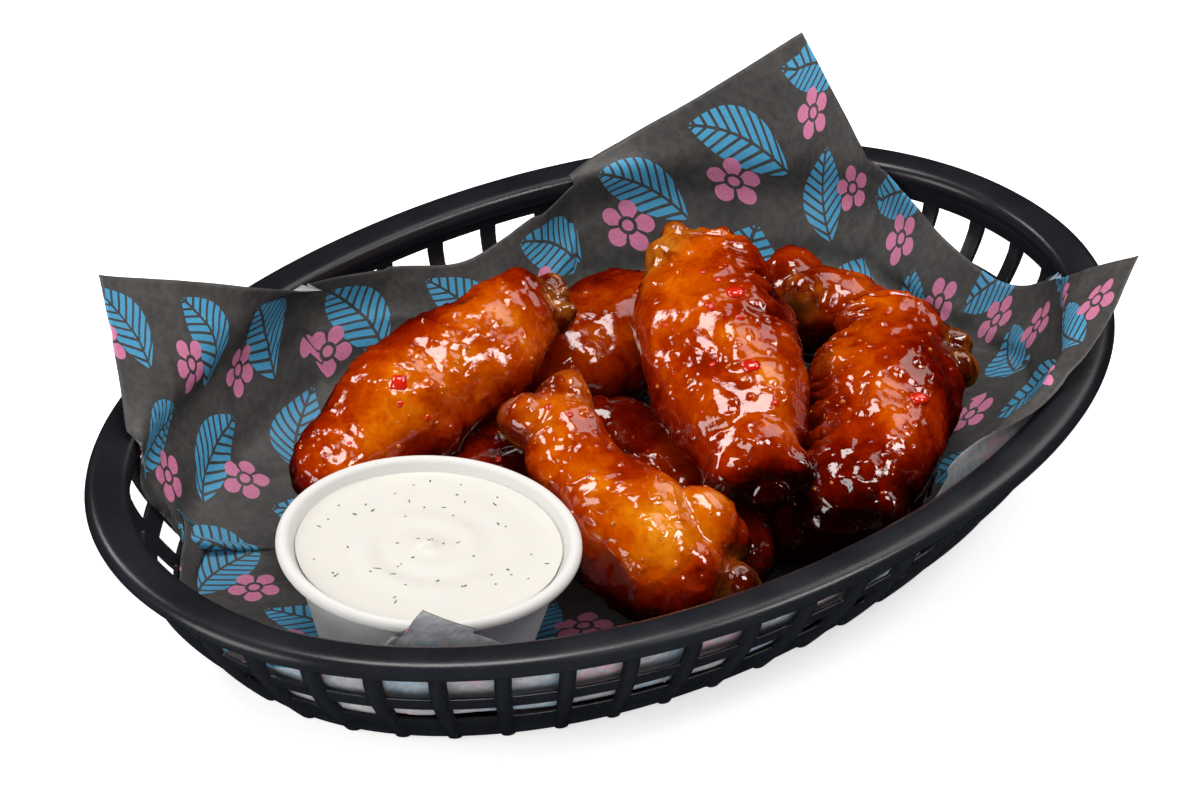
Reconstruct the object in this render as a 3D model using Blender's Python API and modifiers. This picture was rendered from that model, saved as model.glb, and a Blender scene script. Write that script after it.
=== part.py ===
"""A serving of glazed chicken wings with a pot of dip, in a paper-lined oval lattice basket.

Frame: +X along the basket's length, +Y across it, +Z up; the origin is the middle of the
basket's underside. Sizes are in millimetres and become metres when a mesh is made.
"""
import math

import bmesh
import bpy
import numpy as np
from mathutils import Matrix, Vector

MM = 0.001

# Basket: a moulded oval with a rolled rim, upright ribs, two rows of windows and a slotted floor.
HALF_LENGTH = 133.5
HALF_WIDTH = 89.0
OVAL_POWER = 2.08
WALL = 2.9
FLOOR = 2.4
WINDOW_ROWS = ((10.0, 16.5), (22.1, 28.3))
WALL_TOP = 28.3
TOP_INSET = (7.1, 5.8)
BASE_INSET = (27.6, 23.5)
WALL_BULGE = 1.37
RIBS = 46
RIB_WIDTH = 3.9
RIB_CROWDING = 0.066
RIB_SHIFT = -1.6
RIM_JOIN = 33.0
FLOOR_SLOT = (34.0, 7.0)
FLOOR_SLOT_PITCH = (40.0, 13.5)
# Rim section: how far in from the outline, and how high.
RIM_SECTION = (
    (9.9, 32.6), (9.2, 36.2), (7.4, 36.7), (4.4, 35.2), (2.7, 36.2), (0.0, 35.4),
    (1.8, 32.8), (5.4, 32.4),
)

# Paper: one sheet whose four corners stand up; its edge is traced as it lies.
PAPER = 0.4
GAP = 0.35
PAPER_WALL_GAP = 1.1
LIP_HEIGHT = 37.6
LIP_INSET = 12.1
PAPER_EDGE = (
    (-86, 79, 61), (-58, 75, 50), (-32, 72, 40), (-6, 72, 31), (20, 77, 23), (38, 70, 29),
    (62, 73, 41), (86, 63, 51), (110, 54, 65), (113, 31, 38.6), (120, 15, 25), (120, -5, 21),
    (119, -19, 25), (107, -34, 38.6), (108, -60, 56), (77, -67, 38.6), (36, -77, 41), (0, -79, 30),
    (-52, -72, 32), (-102, -50, 46), (-110, -32, 28), (-115, 0, 11), (-101, 35, 12),
    (-87, 48, 13), (-95, 51, 38.6),
)

# Pot of dip: a turned paper pot with a rolled rim.
POT_PLACE = (-71.5, -17.8)
POT_BASE = FLOOR + 2 * GAP + PAPER + 0.6
POT_TOP = 35.0
POT_RIM_RADIUS = 33.5
POT_BASE_RADIUS = 22.0
POT_WALL = 0.9
POT_BEAD = 1.5
POT_FOOT = 3.0
DIP_BELOW_RIM = 2.6
DIP_PEAK = 1.4
TURN_STEPS = 28

# Wings: name, cut, one end, other end, width, thickness, roll in degrees, bend.
WINGS = (
    ("wing_left", "flat", (-70, 21, 23.5), (8, 31, 40), 31, 25, 28, 3),
    ("wing_top", "flat", (38.5, 22, 50), (-1, -45, 31), 37, 26, 0, 3),
    ("wing_right", "flat", (73, -14.5, 37), (13, -62.5, 25), 34, 24, 4, 3),
    ("drumette_front", "drumette", (-26, -54, 19.5), (-19, 5, 37), 35, 31, 0, 3),
    ("wing_back", "flat", (-6, 31, 19), (60, 30, 20), 36, 26, 6, 3),
    ("drumette_back", "drumette", (64, 24, 21), (89, -18, 20), 29, 26, 0, 2),
    ("wing_far_right", "flat", (90, -13, 21), (46, -35, 15), 26, 21, 0, 2),
    ("wing_middle", "flat", (8, 14, 18), (-7, -55, 15), 28, 22, 0, 2),
    ("wing_front", "flat", (6, -48, 15), (58, -44, 15), 28, 21, 0, 2),
    ("wing_low_left", "flat", (-52, 4, 16), (-1, 16, 15), 29, 22, 0, 2),
)
WING_SEGMENTS = 12
WING_RINGS = 10
# Stations along a cut, from 0 to 1: share of the width, share of the thickness.
CUTS = {
    "flat": ((0.0, 0.52, 0.62), (0.2, 0.78, 0.88), (0.42, 1.0, 1.0), (0.62, 0.98, 0.98),
             (0.8, 0.80, 0.84), (1.0, 0.54, 0.66)),
    "drumette": ((0.0, 0.86, 0.86), (0.2, 1.0, 1.0), (0.4, 0.92, 0.92), (0.6, 0.62, 0.62),
                 (0.8, 0.40, 0.42), (1.0, 0.56, 0.52)),
}


def material(name, color, roughness, metallic=0.0):
    """A Principled material with one colour."""
    mat = bpy.data.materials.new(name)
    mat.use_nodes = True
    shader = mat.node_tree.nodes["Principled BSDF"]
    shader.inputs["Base Color"].default_value = (*color, 1.0)
    shader.inputs["Roughness"].default_value = roughness
    shader.inputs["Metallic"].default_value = metallic
    return mat


def new_collection(name):
    group = bpy.data.collections.new(name)
    bpy.context.scene.collection.children.link(group)
    return group


def add_object(name, bm, group, mat):
    """Turn a bmesh in millimetres into a named object in metres."""
    bmesh.ops.scale(bm, vec=(MM, MM, MM), verts=bm.verts)
    mesh = bpy.data.meshes.new(name)
    bm.to_mesh(mesh)
    bm.free()
    obj = bpy.data.objects.new(name, mesh)
    obj.data.materials.append(mat)
    group.objects.link(obj)
    return obj


def cut_by(obj, cutter, operation="DIFFERENCE"):
    """Cut an object by another, or join them, with an exact Boolean."""
    boolean = obj.modifiers.new("boolean_" + cutter.name, "BOOLEAN")
    boolean.operation = operation
    boolean.solver = "EXACT"
    boolean.object = cutter
    return boolean


def as_cutter(obj):
    obj.hide_render = True
    obj.display_type = "WIRE"


def oval_point(angle, insets):
    """A point on the basket's oval, pulled in by the insets at its ends and its sides."""
    cos, sin = math.cos(angle), math.sin(angle)
    x = (HALF_LENGTH - insets[0]) * math.copysign(abs(cos) ** (2 / OVAL_POWER), cos)
    y = (HALF_WIDTH - insets[1]) * math.copysign(abs(sin) ** (2 / OVAL_POWER), sin)
    return x, y


def wall_insets(height):
    """How far the wall's outer face lies inside the outline at a height."""
    fall = max(0.0, 1.0 - height / WALL_TOP) ** WALL_BULGE
    return [top + (base - top) * fall for top, base in zip(TOP_INSET, BASE_INSET)]


def inner_insets(height):
    """The same for the wall's inner face, which runs up into the rim's lip."""
    insets = [inset + WALL for inset in wall_insets(height)]
    if height > WALL_TOP:
        insets = [max(inset, LIP_INSET - 0.8) for inset in insets]
    return insets


def rib_edges():
    """Oval angles of both edges of each rib, closer together round the basket's ends."""
    angles = np.linspace(0.0, 2 * math.pi, 2881)
    points = np.array([oval_point(angle, TOP_INSET) for angle in angles])
    steps = np.hypot(*np.diff(points, axis=0).T)
    arc = np.concatenate(([0.0], np.cumsum(steps)))
    share = arc / arc[-1]
    count = RIBS * (share + RIB_CROWDING * np.sin(4 * math.pi * share) / (4 * math.pi))
    middles = np.interp(np.arange(RIBS) + 0.5, count, arc) + RIB_SHIFT
    edges = np.sort(np.concatenate((middles - RIB_WIDTH / 2, middles + RIB_WIDTH / 2)))
    return list(np.interp(edges, arc, angles))


def ring_of(bm, angles, insets, height):
    return [bm.verts.new((*oval_point(angle, insets), height)) for angle in angles]


def bridge(bm, lower, upper, keep=lambda column: True):
    """Quads between two rings, left out where keep says no."""
    count = len(lower)
    for column in range(count):
        if keep(column):
            after = (column + 1) % count
            bm.faces.new((lower[column], lower[after], upper[after], upper[column]))


def make_basket(group, cutters):
    """The lattice shell with its floor slots, joined to the rim."""
    plastic = material("basket_plastic", (0.018, 0.020, 0.023), 0.42)
    angles = rib_edges()
    shell = bmesh.new()
    levels = [0.0] + [height for row in WINDOW_ROWS for height in row] + [RIM_JOIN + 0.8]
    rings = [ring_of(shell, angles, wall_insets(level), level) for level in levels]
    windows = [level for level, _ in WINDOW_ROWS]
    for level, lower, upper in zip(levels, rings, rings[1:]):
        open_row = level in windows
        bridge(shell, lower, upper, lambda column: not open_row or column % 2 == 0)
    shell.faces.new(list(reversed(rings[0])))
    basket = add_object("basket", shell, group, plastic)
    solidify = basket.modifiers.new("wall", "SOLIDIFY")
    solidify.thickness = FLOOR * MM
    solidify.offset = -1.0
    solidify.use_even_offset = True
    cut_by(basket, make_slot_cutter(cutters))
    cut_by(basket, make_rim(cutters, angles), "UNION")
    return basket


def make_slot_cutter(cutters):
    """Boxes for the slots of the floor, in rows that fit inside its oval."""
    bm = bmesh.new()
    reach_x = HALF_LENGTH - BASE_INSET[0] - FLOOR_SLOT[0] / 2 - 8
    reach_y = HALF_WIDTH - BASE_INSET[1] - FLOOR_SLOT[1] / 2 - 5
    for row in range(-4, 5):
        y = row * FLOOR_SLOT_PITCH[1]
        for column in range(-3, 3):
            x = (column + 0.5) * FLOOR_SLOT_PITCH[0]
            inside = (x / reach_x) ** 2 + (y / reach_y) ** 2 < 1
            if inside and row != 0:
                place = Matrix.Translation((x, y, FLOOR / 2))
                size = Matrix.Diagonal((*FLOOR_SLOT, 4 * FLOOR, 1.0))
                bmesh.ops.create_cube(bm, size=1.0, matrix=place @ size)
    cutter = add_object("slot_cutter", bm, cutters, material("cutter", (0.5, 0.5, 0.5), 0.5))
    as_cutter(cutter)
    return cutter


def make_rim(cutters, angles):
    """The rolled rim: its section carried round the oval."""
    bm = bmesh.new()
    rings = [ring_of(bm, angles, (inset, inset), height) for inset, height in RIM_SECTION]
    for inner, outer in zip(rings, rings[1:] + rings[:1]):
        bridge(bm, inner, outer)
    bmesh.ops.recalc_face_normals(bm, faces=bm.faces)
    rim = add_object("rim_ring", bm, cutters, material("rim", (0.02, 0.02, 0.02), 0.4))
    as_cutter(rim)
    return rim


def halved(points):
    """The points of a closed outline, with one more half way to each next one."""
    points = np.array(points, float)
    after = np.roll(points, -1, axis=0)
    return np.stack((points, (points + after) / 2), axis=1).reshape(-1, 3)


def paper_angle(point):
    """The oval angle at which a point lies."""
    x = math.copysign((abs(point[0]) / HALF_LENGTH) ** (OVAL_POWER / 2), point[0])
    y = math.copysign((abs(point[1]) / HALF_WIDTH) ** (OVAL_POWER / 2), point[1])
    return math.atan2(y, x)


def paper_column(edge):
    """One strip of the sheet, from the floor out and up the wall to its edge."""
    angle = paper_angle(edge)
    foot = FLOOR + GAP + 0.15
    foot_insets = [inset + PAPER_WALL_GAP for inset in inner_insets(foot)]
    strip = [(*(share * value for value in oval_point(angle, foot_insets)), foot)
             for share in (0.5, 0.985)]
    top = LIP_HEIGHT if edge[2] > LIP_HEIGHT else foot + 0.85 * (edge[2] - foot)
    for share in (0.25, 0.5, 0.75, 1.0):
        height = foot + share * (top - foot)
        insets = [inset + PAPER_WALL_GAP for inset in inner_insets(height)]
        strip.append((*oval_point(angle, insets), height))
    limit = [inset + PAPER_WALL_GAP for inset in inner_insets(edge[2])]
    if edge[2] < LIP_HEIGHT:
        strip.append((*oval_point(angle, limit), edge[2]))
    else:
        strip.append(tuple(edge))
    return strip


def make_liner(group):
    """The sheet of paper that lines the basket."""
    paper = material("liner_paper", (0.045, 0.042, 0.040), 0.7)
    bm = bmesh.new()
    strips = [paper_column(edge) for edge in halved(PAPER_EDGE)]
    columns = [[bm.verts.new(point) for point in strip] for strip in strips]
    middle = bm.verts.new((0, 0, FLOOR + GAP + 0.15))
    for left, right in zip(columns, columns[1:] + columns[:1]):
        bm.faces.new((middle, left[0], right[0]))
        for k in range(len(left) - 1):
            bm.faces.new((left[k], left[k + 1], right[k + 1], right[k]))
    liner = add_object("liner", bm, group, paper)
    solidify = liner.modifiers.new("paper", "SOLIDIFY")
    solidify.thickness = PAPER * MM
    solidify.offset = -1.0
    return liner


def turn(name, profile, place, group, mat):
    """A turned solid: the profile runs from the axis, down its outer side and back to it."""
    bm = bmesh.new()
    verts = [bm.verts.new((radius, 0.0, height)) for radius, height in profile]
    for start, end in zip(verts, verts[1:]):
        bm.edges.new((start, end))
    obj = add_object(name, bm, group, mat)
    obj.location = (place[0] * MM, place[1] * MM, 0.0)
    screw = obj.modifiers.new("turn", "SCREW")
    screw.steps = TURN_STEPS
    screw.render_steps = TURN_STEPS
    screw.use_merge_vertices = True
    screw.merge_threshold = 0.00001
    return obj


def pot_radius(height):
    """The pot's outer radius, wider towards its top."""
    rise = (height - POT_BASE) / (POT_TOP - POT_BASE)
    return POT_BASE_RADIUS + (POT_RIM_RADIUS - 2 * POT_BEAD - POT_BASE_RADIUS) * rise


def make_pot(group):
    """The paper pot: an inner wall, a rolled rim, an outer wall and a recessed base."""
    card = material("pot_card", (0.82, 0.82, 0.80), 0.6)
    floor = POT_BASE + POT_FOOT
    profile = [(0.0, floor + POT_WALL), (pot_radius(floor) - POT_WALL, floor + POT_WALL)]
    bead_middle = (pot_radius(POT_TOP) - POT_WALL + POT_BEAD + 0.3, POT_TOP - POT_BEAD)
    for step in range(6):
        angle = math.radians(190 - step * 50)
        profile.append((bead_middle[0] + POT_BEAD * math.cos(angle),
                        bead_middle[1] + POT_BEAD * math.sin(angle)))
    profile += [(pot_radius(POT_TOP - 2 * POT_BEAD), POT_TOP - 2 * POT_BEAD),
                (pot_radius(POT_BASE), POT_BASE), (pot_radius(POT_BASE) - 2 * POT_WALL, POT_BASE),
                (pot_radius(floor) - 2 * POT_WALL, floor), (0.0, floor)]
    return turn("pot", profile, POT_PLACE, group, card)


def make_dip(group):
    """The dip, filling the pot to a little below its rim, with a stirred top."""
    cream = material("dip", (0.84, 0.82, 0.75), 0.25)
    level = POT_TOP - DIP_BELOW_RIM
    bottom = POT_BASE + POT_FOOT + POT_WALL + GAP
    reach = pot_radius(level) - POT_WALL - GAP - 0.2
    profile = [(0.0, level + DIP_PEAK)]
    for share, rise in ((0.12, 0.6), (0.28, 0.0), (0.5, 0.5), (0.75, 0.0), (1.0, 0.2)):
        profile.append((share * reach, level + rise))
    profile += [(pot_radius(bottom) - POT_WALL - GAP - 0.4, bottom), (0.0, bottom)]
    return turn("dip", profile, POT_PLACE, group, cream)


def station_shares(cut, t):
    """Width and thickness shares at a place along a cut, eased between its stations."""
    stations = CUTS[cut]
    for (t0, w0, h0), (t1, w1, h1) in zip(stations, stations[1:]):
        if t <= t1:
            ease = 0.5 - 0.5 * math.cos(math.pi * (t - t0) / (t1 - t0))
            return w0 + (w1 - w0) * ease, h0 + (h1 - h0) * ease
    return stations[-1][1:]


def wing_frame(start, end, roll):
    """Middle and turned axes of a wing that lies between two ends."""
    start, end = Vector(start), Vector(end)
    along = (end - start).normalized()
    across = Vector((0, 0, 1)).cross(along).normalized()
    across = Matrix.Rotation(math.radians(roll), 3, along) @ across
    up = along.cross(across)
    return (start + end) / 2, Matrix((along, across, up)).transposed()


def make_wing(spec, group, mat):
    """One wing: a sphere drawn out along its axis to the stations of its cut."""
    name, cut, start, end, width, thickness, roll, bend = spec
    middle, axes = wing_frame(start, end, roll)
    length = (Vector(end) - Vector(start)).length
    bm = bmesh.new()
    bmesh.ops.create_uvsphere(bm, u_segments=WING_SEGMENTS, v_segments=WING_RINGS, radius=1.0)
    for vert in bm.verts:
        x = max(-1.0, min(1.0, vert.co.z))
        t = math.acos(-x) / math.pi
        wide, thick = station_shares(cut, t)
        ring = max(1e-6, math.hypot(vert.co.x, vert.co.y))
        fullness = ring ** 0.62
        side = vert.co.x / ring * fullness * wide * width / 2
        rise = vert.co.y / ring * fullness * thick * thickness / 2
        sway = bend * (1 - (2 * t - 1) ** 2)
        vert.co = middle + axes @ Vector((x * length / 2, side + sway, rise))
    return add_object(name, bm, group, mat)


def make_wings(group, cutters):
    """All the wings; each lower one gives way to those that lie on it."""
    glaze = material("wing_glaze", (0.42, 0.10, 0.015), 0.2)
    placed = []
    for spec in WINGS:
        wing = make_wing(spec, group, glaze)
        for upper in placed:
            cut_by(wing, upper)
        swollen = make_wing(spec, cutters, glaze)
        swollen.name = spec[0] + "_clearance"
        swell = swollen.modifiers.new("clearance", "DISPLACE")
        swell.mid_level = 0.0
        swell.strength = GAP * MM
        as_cutter(swollen)
        placed.append(swollen)


def main():
    for obj in list(bpy.data.objects):
        bpy.data.objects.remove(obj, do_unlink=True)
    group = new_collection("chicken_wings_basket")
    cutters = new_collection("cutters")
    make_basket(group, cutters)
    make_liner(group)
    make_pot(group)
    make_dip(group)
    make_wings(group, cutters)


main()
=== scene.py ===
import math
from collections import namedtuple
from functools import partialmethod
from itertools import product

import bmesh
import bpy
import numpy as np
from mathutils import Matrix, Vector
from mathutils.bvhtree import BVHTree


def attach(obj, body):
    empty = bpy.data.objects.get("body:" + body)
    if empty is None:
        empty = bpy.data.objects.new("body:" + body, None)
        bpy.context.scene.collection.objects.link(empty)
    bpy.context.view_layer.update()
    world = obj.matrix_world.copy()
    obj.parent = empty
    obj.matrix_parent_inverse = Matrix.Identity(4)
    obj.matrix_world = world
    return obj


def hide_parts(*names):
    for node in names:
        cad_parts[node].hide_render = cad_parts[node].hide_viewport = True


bl_info = {
    "name": "Basket of glazed wings",
    "version": (1, 0, 0),
    "blender": (4, 5, 0),
    "location": "3D View > Sidebar > Wings",
    "description": "Dresses the packed model of a basket of glazed chicken wings with a pot of dip",
    "category": "Object",
}

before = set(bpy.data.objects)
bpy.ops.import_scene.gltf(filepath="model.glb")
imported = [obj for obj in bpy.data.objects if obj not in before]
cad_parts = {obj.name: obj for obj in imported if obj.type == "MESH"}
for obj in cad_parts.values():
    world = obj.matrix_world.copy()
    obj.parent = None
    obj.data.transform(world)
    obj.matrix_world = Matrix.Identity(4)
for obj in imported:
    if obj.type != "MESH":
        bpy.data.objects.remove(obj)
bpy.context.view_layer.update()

MM = 0.001
METRE = 1000.0

# Basket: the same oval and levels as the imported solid, in millimetres.
HALF_LENGTH = 133.5
HALF_WIDTH = 89.0
OVAL_POWER = 2.08
WALL_TOP = 28.3
TOP_INSET = (7.1, 5.8)
BASE_INSET = (27.6, 23.5)
WALL_BULGE = 1.37
WINDOW_ROWS = ((10.0, 15.6), (20.2, 29.0))
WALL_LEVELS = (0.0, 0.5, 1.6, 3.4, 5.6, 8.0, 9.4, 10.0, 11.8, 13.8, 15.6, 16.3, 17.9, 19.5, 20.2,
               22.4, 24.6, 26.8, 29.0, 29.7, 31.0, 33.8)
# Ribs stand closer together at the basket's ends, by a share, and start a little off its axis.
RIB_CROWDING = 0.066
RIB_SHIFT = -1.6
# A rib's columns, as shares of its half width, and the columns of the gap beside it.
RIB_COLUMNS = (-1.0, -0.88, -0.6, -0.2, 0.2, 0.6, 0.88, 1.0)
GAP_COLUMNS = (0.2, 0.4, 0.6, 0.8)
# The floor: how far inside the wall's foot, how much wider at its top, its slots, and the
# margins that stay free of them at its ends and sides.
FLOOR_INSET = 1.6
FLOOR_FLARE = 0.9
FLOOR_SLOT = (34.0, 7.0)
FLOOR_SLOT_PITCH = (40.0, 13.5)
FLOOR_MARGIN = (8, 5)
# The rolled rim's section: how far in from the outline, and how high.
RIM_SECTION = (
    (9.9, 32.2), (10.1, 33.6), (10.0, 34.9), (9.6, 35.8), (8.9, 36.4), (8.0, 36.7), (7.0, 36.8),
    (6.0, 36.8), (5.0, 36.8), (4.0, 36.78), (3.0, 36.72), (2.3, 36.62), (1.7, 36.45), (1.2, 36.15),
    (0.75, 35.75), (0.4, 35.25), (0.2, 34.7), (0.1, 34.0), (0.5, 33.2), (1.4, 32.8), (2.2, 32.7),
    (2.8, 33.3), (4.4, 33.6), (5.8, 33.3), (6.8, 32.4),
)

# Paper: the sheet's edge as it lies, side by side between its four corners.
LIP_HEIGHT = 37.3
LIP_INSET = 11.2
PAPER_FOOT = 3.2
# How far inside the wall's outer face the paper lies, and the least that creases leave of it.
PAPER_GAP = 4.2
PAPER_CLEARANCE = 3.9
# Sizes of the sheet's soft waves, its folds and its fine creases, and how deep one may sink.
WAVE_SIZE = 42.0
FOLD_SIZE = 30.0
CREASE_SIZE = 12.0
DEEPEST = -0.8
# Heights under the rim, and how far in from the outline the sheet is kept there.
UNDER_RIM = ((30.0, 31.0, 36.2, 40.0), (0.0, 10.5, 10.5, 0.0))
PAPER_SIDES = (
    ((-86, 79, 61), (-58, 75.5, 50), (-32, 72, 39.5), (-6, 71, 32), (20, 76, 24), (38, 70, 29),
     (54, 73, 38), (70, 71, 43), (86, 64.5, 51), (110, 54, 65)),
    ((110, 54, 65), (113, 31, 39), (119, 15, 25), (119, -5, 21), (117, -19, 25), (107, -34, 38.6),
     (108, -60, 56)),
    ((108, -60, 56), (92, -65, 47), (74, -68, 38.6), (56, -73, 38.4), (42.5, -74.8, 40.5),
     (32, -75.5, 38.6), (24, -76, 31), (0, -77, 27), (-52, -71, 28), (-76, -63, 30),
     (-85.4, -57, 35.5), (-93, -52.5, 39.8), (-100, -48, 44.5)),
    ((-100, -48, 44.5), (-103.8, -42.8, 35), (-108, -33, 28), (-112, -22, 23), (-112, 0, 14),
     (-107, 22, 13), (-97, 38, 12), (-86.4, 47.5, 12.7), (-88.7, 50, 17.6), (-92.2, 51.9, 24.2),
     (-96.5, 50.8, 32), (-99.3, 51.3, 37.6), (-94.9, 60.5, 45.3), (-90.4, 69.8, 53.2),
     (-86, 79, 61)),
)

# The print: a veined leaf and a blossom in cells that are turned about from row to row. The
# map of the sheet, and that of the pot, is in units of 100 mm.
MAP_UNIT = 100.0
PRINT_CELL = (27.5, 24.5)
LEAF_HALF_LENGTH = 11.6
LEAF_HALF_WIDTH = 6.6
LEAFLET_PITCH = 2.5
BLOSSOM_PLACE = (5.4, -5.2)
BLOSSOM_TURN = 0.4
PETALS = 5

# Pot of dip.
POT_PLACE = (-71.5, -17.8)
POT_BASE = 4.1
POT_TOP = 35.0
POT_FOOT = 3.0
POT_WALL = 0.7
DIP_LEVEL = 32.4
# How far inside the pot's outer face the dip's top and its side end.
DIP_EDGE = 0.75
DIP_SIDE = 0.9
# The dip's stirred top: the swirl's height, how it winds, where it is highest, its spread.
SWIRL_HEIGHT = 0.34
SWIRL_WINDING = 0.62
SWIRL_RADIUS = 11
SWIRL_SPREAD = 7.0
# Herb flecks: corners of one, their lengths, and how common each length is.
HERB_SIDES = 7
HERB_LENGTHS = (0.28, 0.4, 0.6, 0.95)
HERB_SHARES = (0.35, 0.35, 0.2, 0.1)
# The embossed diamonds are drawn a little coarser than the real 0.8 mm, so that they show.
EMBOSS_PITCH = 1.1

# Wings: the cut, both ends, width, thickness, roll in degrees, and how far it bends sideways.
Wing = namedtuple("Wing", "cut start end width thickness roll bend")
WINGS = {
    "wing_left": Wing("flat", (-70, 21, 23.5), (8, 31, 40), 31, 25, 28, 3),
    "wing_top": Wing("flat", (38.5, 22, 50), (-1, -45, 31), 37, 26, 0, 3),
    "wing_right": Wing("flat", (73, -14.5, 37), (13, -62.5, 25), 34, 24, 4, 3),
    "drumette_front": Wing("drumette", (-26, -54, 19.5), (-19, 5, 37), 35, 31, 0, 3),
    "wing_back": Wing("flat", (-6, 31, 19), (60, 30, 20), 36, 26, 6, 3),
    "drumette_back": Wing("drumette", (64, 24, 21), (89, -18, 20), 29, 26, 0, 2),
    "wing_far_right": Wing("flat", (90, -13, 21), (46, -35, 15), 26, 21, 0, 2),
    "wing_middle": Wing("flat", (8, 14, 18), (-7, -55, 15), 28, 22, 0, 2),
    "wing_front": Wing("flat", (6, -48, 15), (58, -44, 15), 28, 21, 0, 2),
    "wing_low_left": Wing("flat", (-52, 4, 16), (-1, 16, 15), 29, 22, 0, 2),
}
# Stations along a cut, from 0 to 1: share of the width, share of the thickness.
CUTS = {
    "flat": ((0.0, 0.52, 0.62), (0.2, 0.78, 0.88), (0.42, 1.0, 1.0), (0.62, 0.98, 0.98),
             (0.8, 0.80, 0.84), (1.0, 0.54, 0.66)),
    "drumette": ((0.0, 0.86, 0.86), (0.2, 1.0, 1.0), (0.4, 0.92, 0.92), (0.6, 0.62, 0.62),
                 (0.8, 0.40, 0.42), (1.0, 0.56, 0.52)),
}
# Knuckles, bone ends and folds that stand out of a wing's main form, in the wing's own axes:
# place along, across and up from its middle, half sizes, and how bare of skin they are.
LOBES = {
    "wing_left": ((26, 3, 0, 14, 10.5, 10, 0), (36, 5.5, 0, 5.5, 6.5, 7.5, 0),
                  (42.5, 1.8, 0, 4.6, 4.6, 4.6, 0.6), (39.5, -4, 0, 4.0, 4.2, 5, 0.7),
                  (-29, 3, 0, 13, 11, 9, 0)),
    "wing_top": ((-35.5, -0.5, 3, 5.5, 4.6, 5, 0.6), (-31, -5.5, 3, 5.5, 4.2, 5, 0.7),
                 (-25, 6, 0, 15.5, 13, 9.5, 0), (31, 3, 1, 11, 11, 9, 0),
                 (36.5, 10.5, 1, 5, 5, 6, 0), (41, 4.5, -1, 4.5, 4.6, 5, 0),
                 (38, -3.5, 1, 5, 5, 5.5, 0)),
    "wing_right": ((-25, 2, 0, 15, 13.5, 9, 0), (-27.5, 16, -3, 3.8, 4.2, 4.5, 0.6),
                   (-20.5, 17.5, -4, 3.8, 4, 4.5, 0.5), (24, 0, 0, 17, 13, 10.5, 0),
                   (37, -1.5, -1, 5, 7.5, 6, 0), (33, 7, -1, 7, 6, 7, 0)),
    "drumette_front": ((26.5, 5.8, 0, 7, 5.6, 6, 0.2), (27.5, -5.6, 1, 7, 4.8, 6, 0.3),
                       (14, 0.5, 0, 17, 8.5, 8.5, 0), (-22.8, -14, 2, 5.6, 5, 5.6, 0),
                       (-19, -9, 7, 9, 7, 5.5, 0), (-33, -9.5, 0, 5.5, 5.5, 6, 0.3),
                       (-24, 1, 0, 12, 13, 11, 0)),
    "drumette_back": ((-8.5, -5, 9, 4.4, 4.6, 4.6, 0.3), (-14, 2, 8, 6, 5, 6, 0),
                      (-14, 9, 7, 7, 4.5, 5, 0)),
    "wing_middle": ((-20, 3, 4, 8, 7, 6, 0), (-28, -4, 3, 6, 6, 6, 0)),
}
# Folds across a wing's skin: place along it, place round it in degrees, spread along and
# round, and height in millimetres.
FOLDS = {
    "wing_top": ((0.3, 20, 0.34, 42, 1.0),),
    "wing_right": ((0.4, 165, 0.42, 50, 1.4), (0.1, 90, 0.12, 80, 0.8), (0.95, 90, 0.1, 90, 1.5)),
    "wing_left": ((0.93, 120, 0.08, 60, 0.6),),
    "drumette_front": ((0.5, 60, 0.2, 40, 0.4),),
}
# How dark each wing is drawn, above the common level; the wings that lie under and behind the
# others are darker as painted shade.
ROAST_AND_SHADE = {"wing_middle": -0.26, "wing_front": -0.34, "wing_low_left": -0.3, "wing_back": -0.14,
         "wing_far_right": -0.2, "wing_right": -0.06, "drumette_back": -0.2}
# These wings lie in full view, and their skin is made of finer faces than the others'.
IN_VIEW = ("wing_left", "wing_top", "wing_right", "drumette_front")
COARSER = 1.4
# Charred ends: place along the wing, spread, and depth.
CHARRED = {"wing_right": (38, 13, 0.42), "wing_top": (41, 9, 0.3), "wing_back": (-34, 16, 0.1)}
# Large chili flakes: wing, place along and across from its middle, and size.
LARGE_FLAKES = (
    ("wing_top", -8.6, 6.2, 5.0), ("wing_top", -4.6, -0.5, 3.0), ("wing_top", 13.6, 4.7, 4.4),
    ("wing_top", -14.0, 3.5, 1.9), ("wing_top", -0.1, 5.3, 1.7), ("wing_top", -16.9, 0.5, 1.6),
    ("wing_left", -11.4, 5.6, 4.6), ("wing_right", 6.1, 12.4, 4.2),
)
# Shares of the small flakes and beads that fall on each wing, in the order above.
SCATTER_SHARES = (3, 4, 4, 2.5, 2, 1, 0.5, 1, 0.5, 0.5)
# Sizes of the skin's relief in millimetres. Wrinkles run across a wing and streaks along it.
LUMP_SIZE = 14.0
WRINKLES_PER_MM = (1 / 2.9, 1 / 9.0, 1 / 9.0)
STREAKS_PER_MM = (1 / 9.5, 1 / 4.4, 1 / 4.4)
CRINKLE_SIZE = 4.2
RIPPLE_SIZE = 2.6
DROP_SIZE = 1.9
# The camera: where it stands, and its right, up and backward axes.
CAMERA_PLACE = (-0.74384, -0.76275, 0.72190)
CAMERA_AXES = ((0.73372, -0.67848, 0.03626), (0.34724, 0.42031, 0.83831),
               (-0.58402, -0.60250, 0.54399))
# What the lights are aimed at.
MIDDLE = (0, 0, 0.02)
ABOVE_MIDDLE = (0, 0, 0.03)
# Random levels on a lattice, which all the shapes' noise is read from.
LATTICE = np.random.default_rng(11).random((32, 32, 32)) * 2 - 1


# ---------------------------------------------------------------- settings


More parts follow.
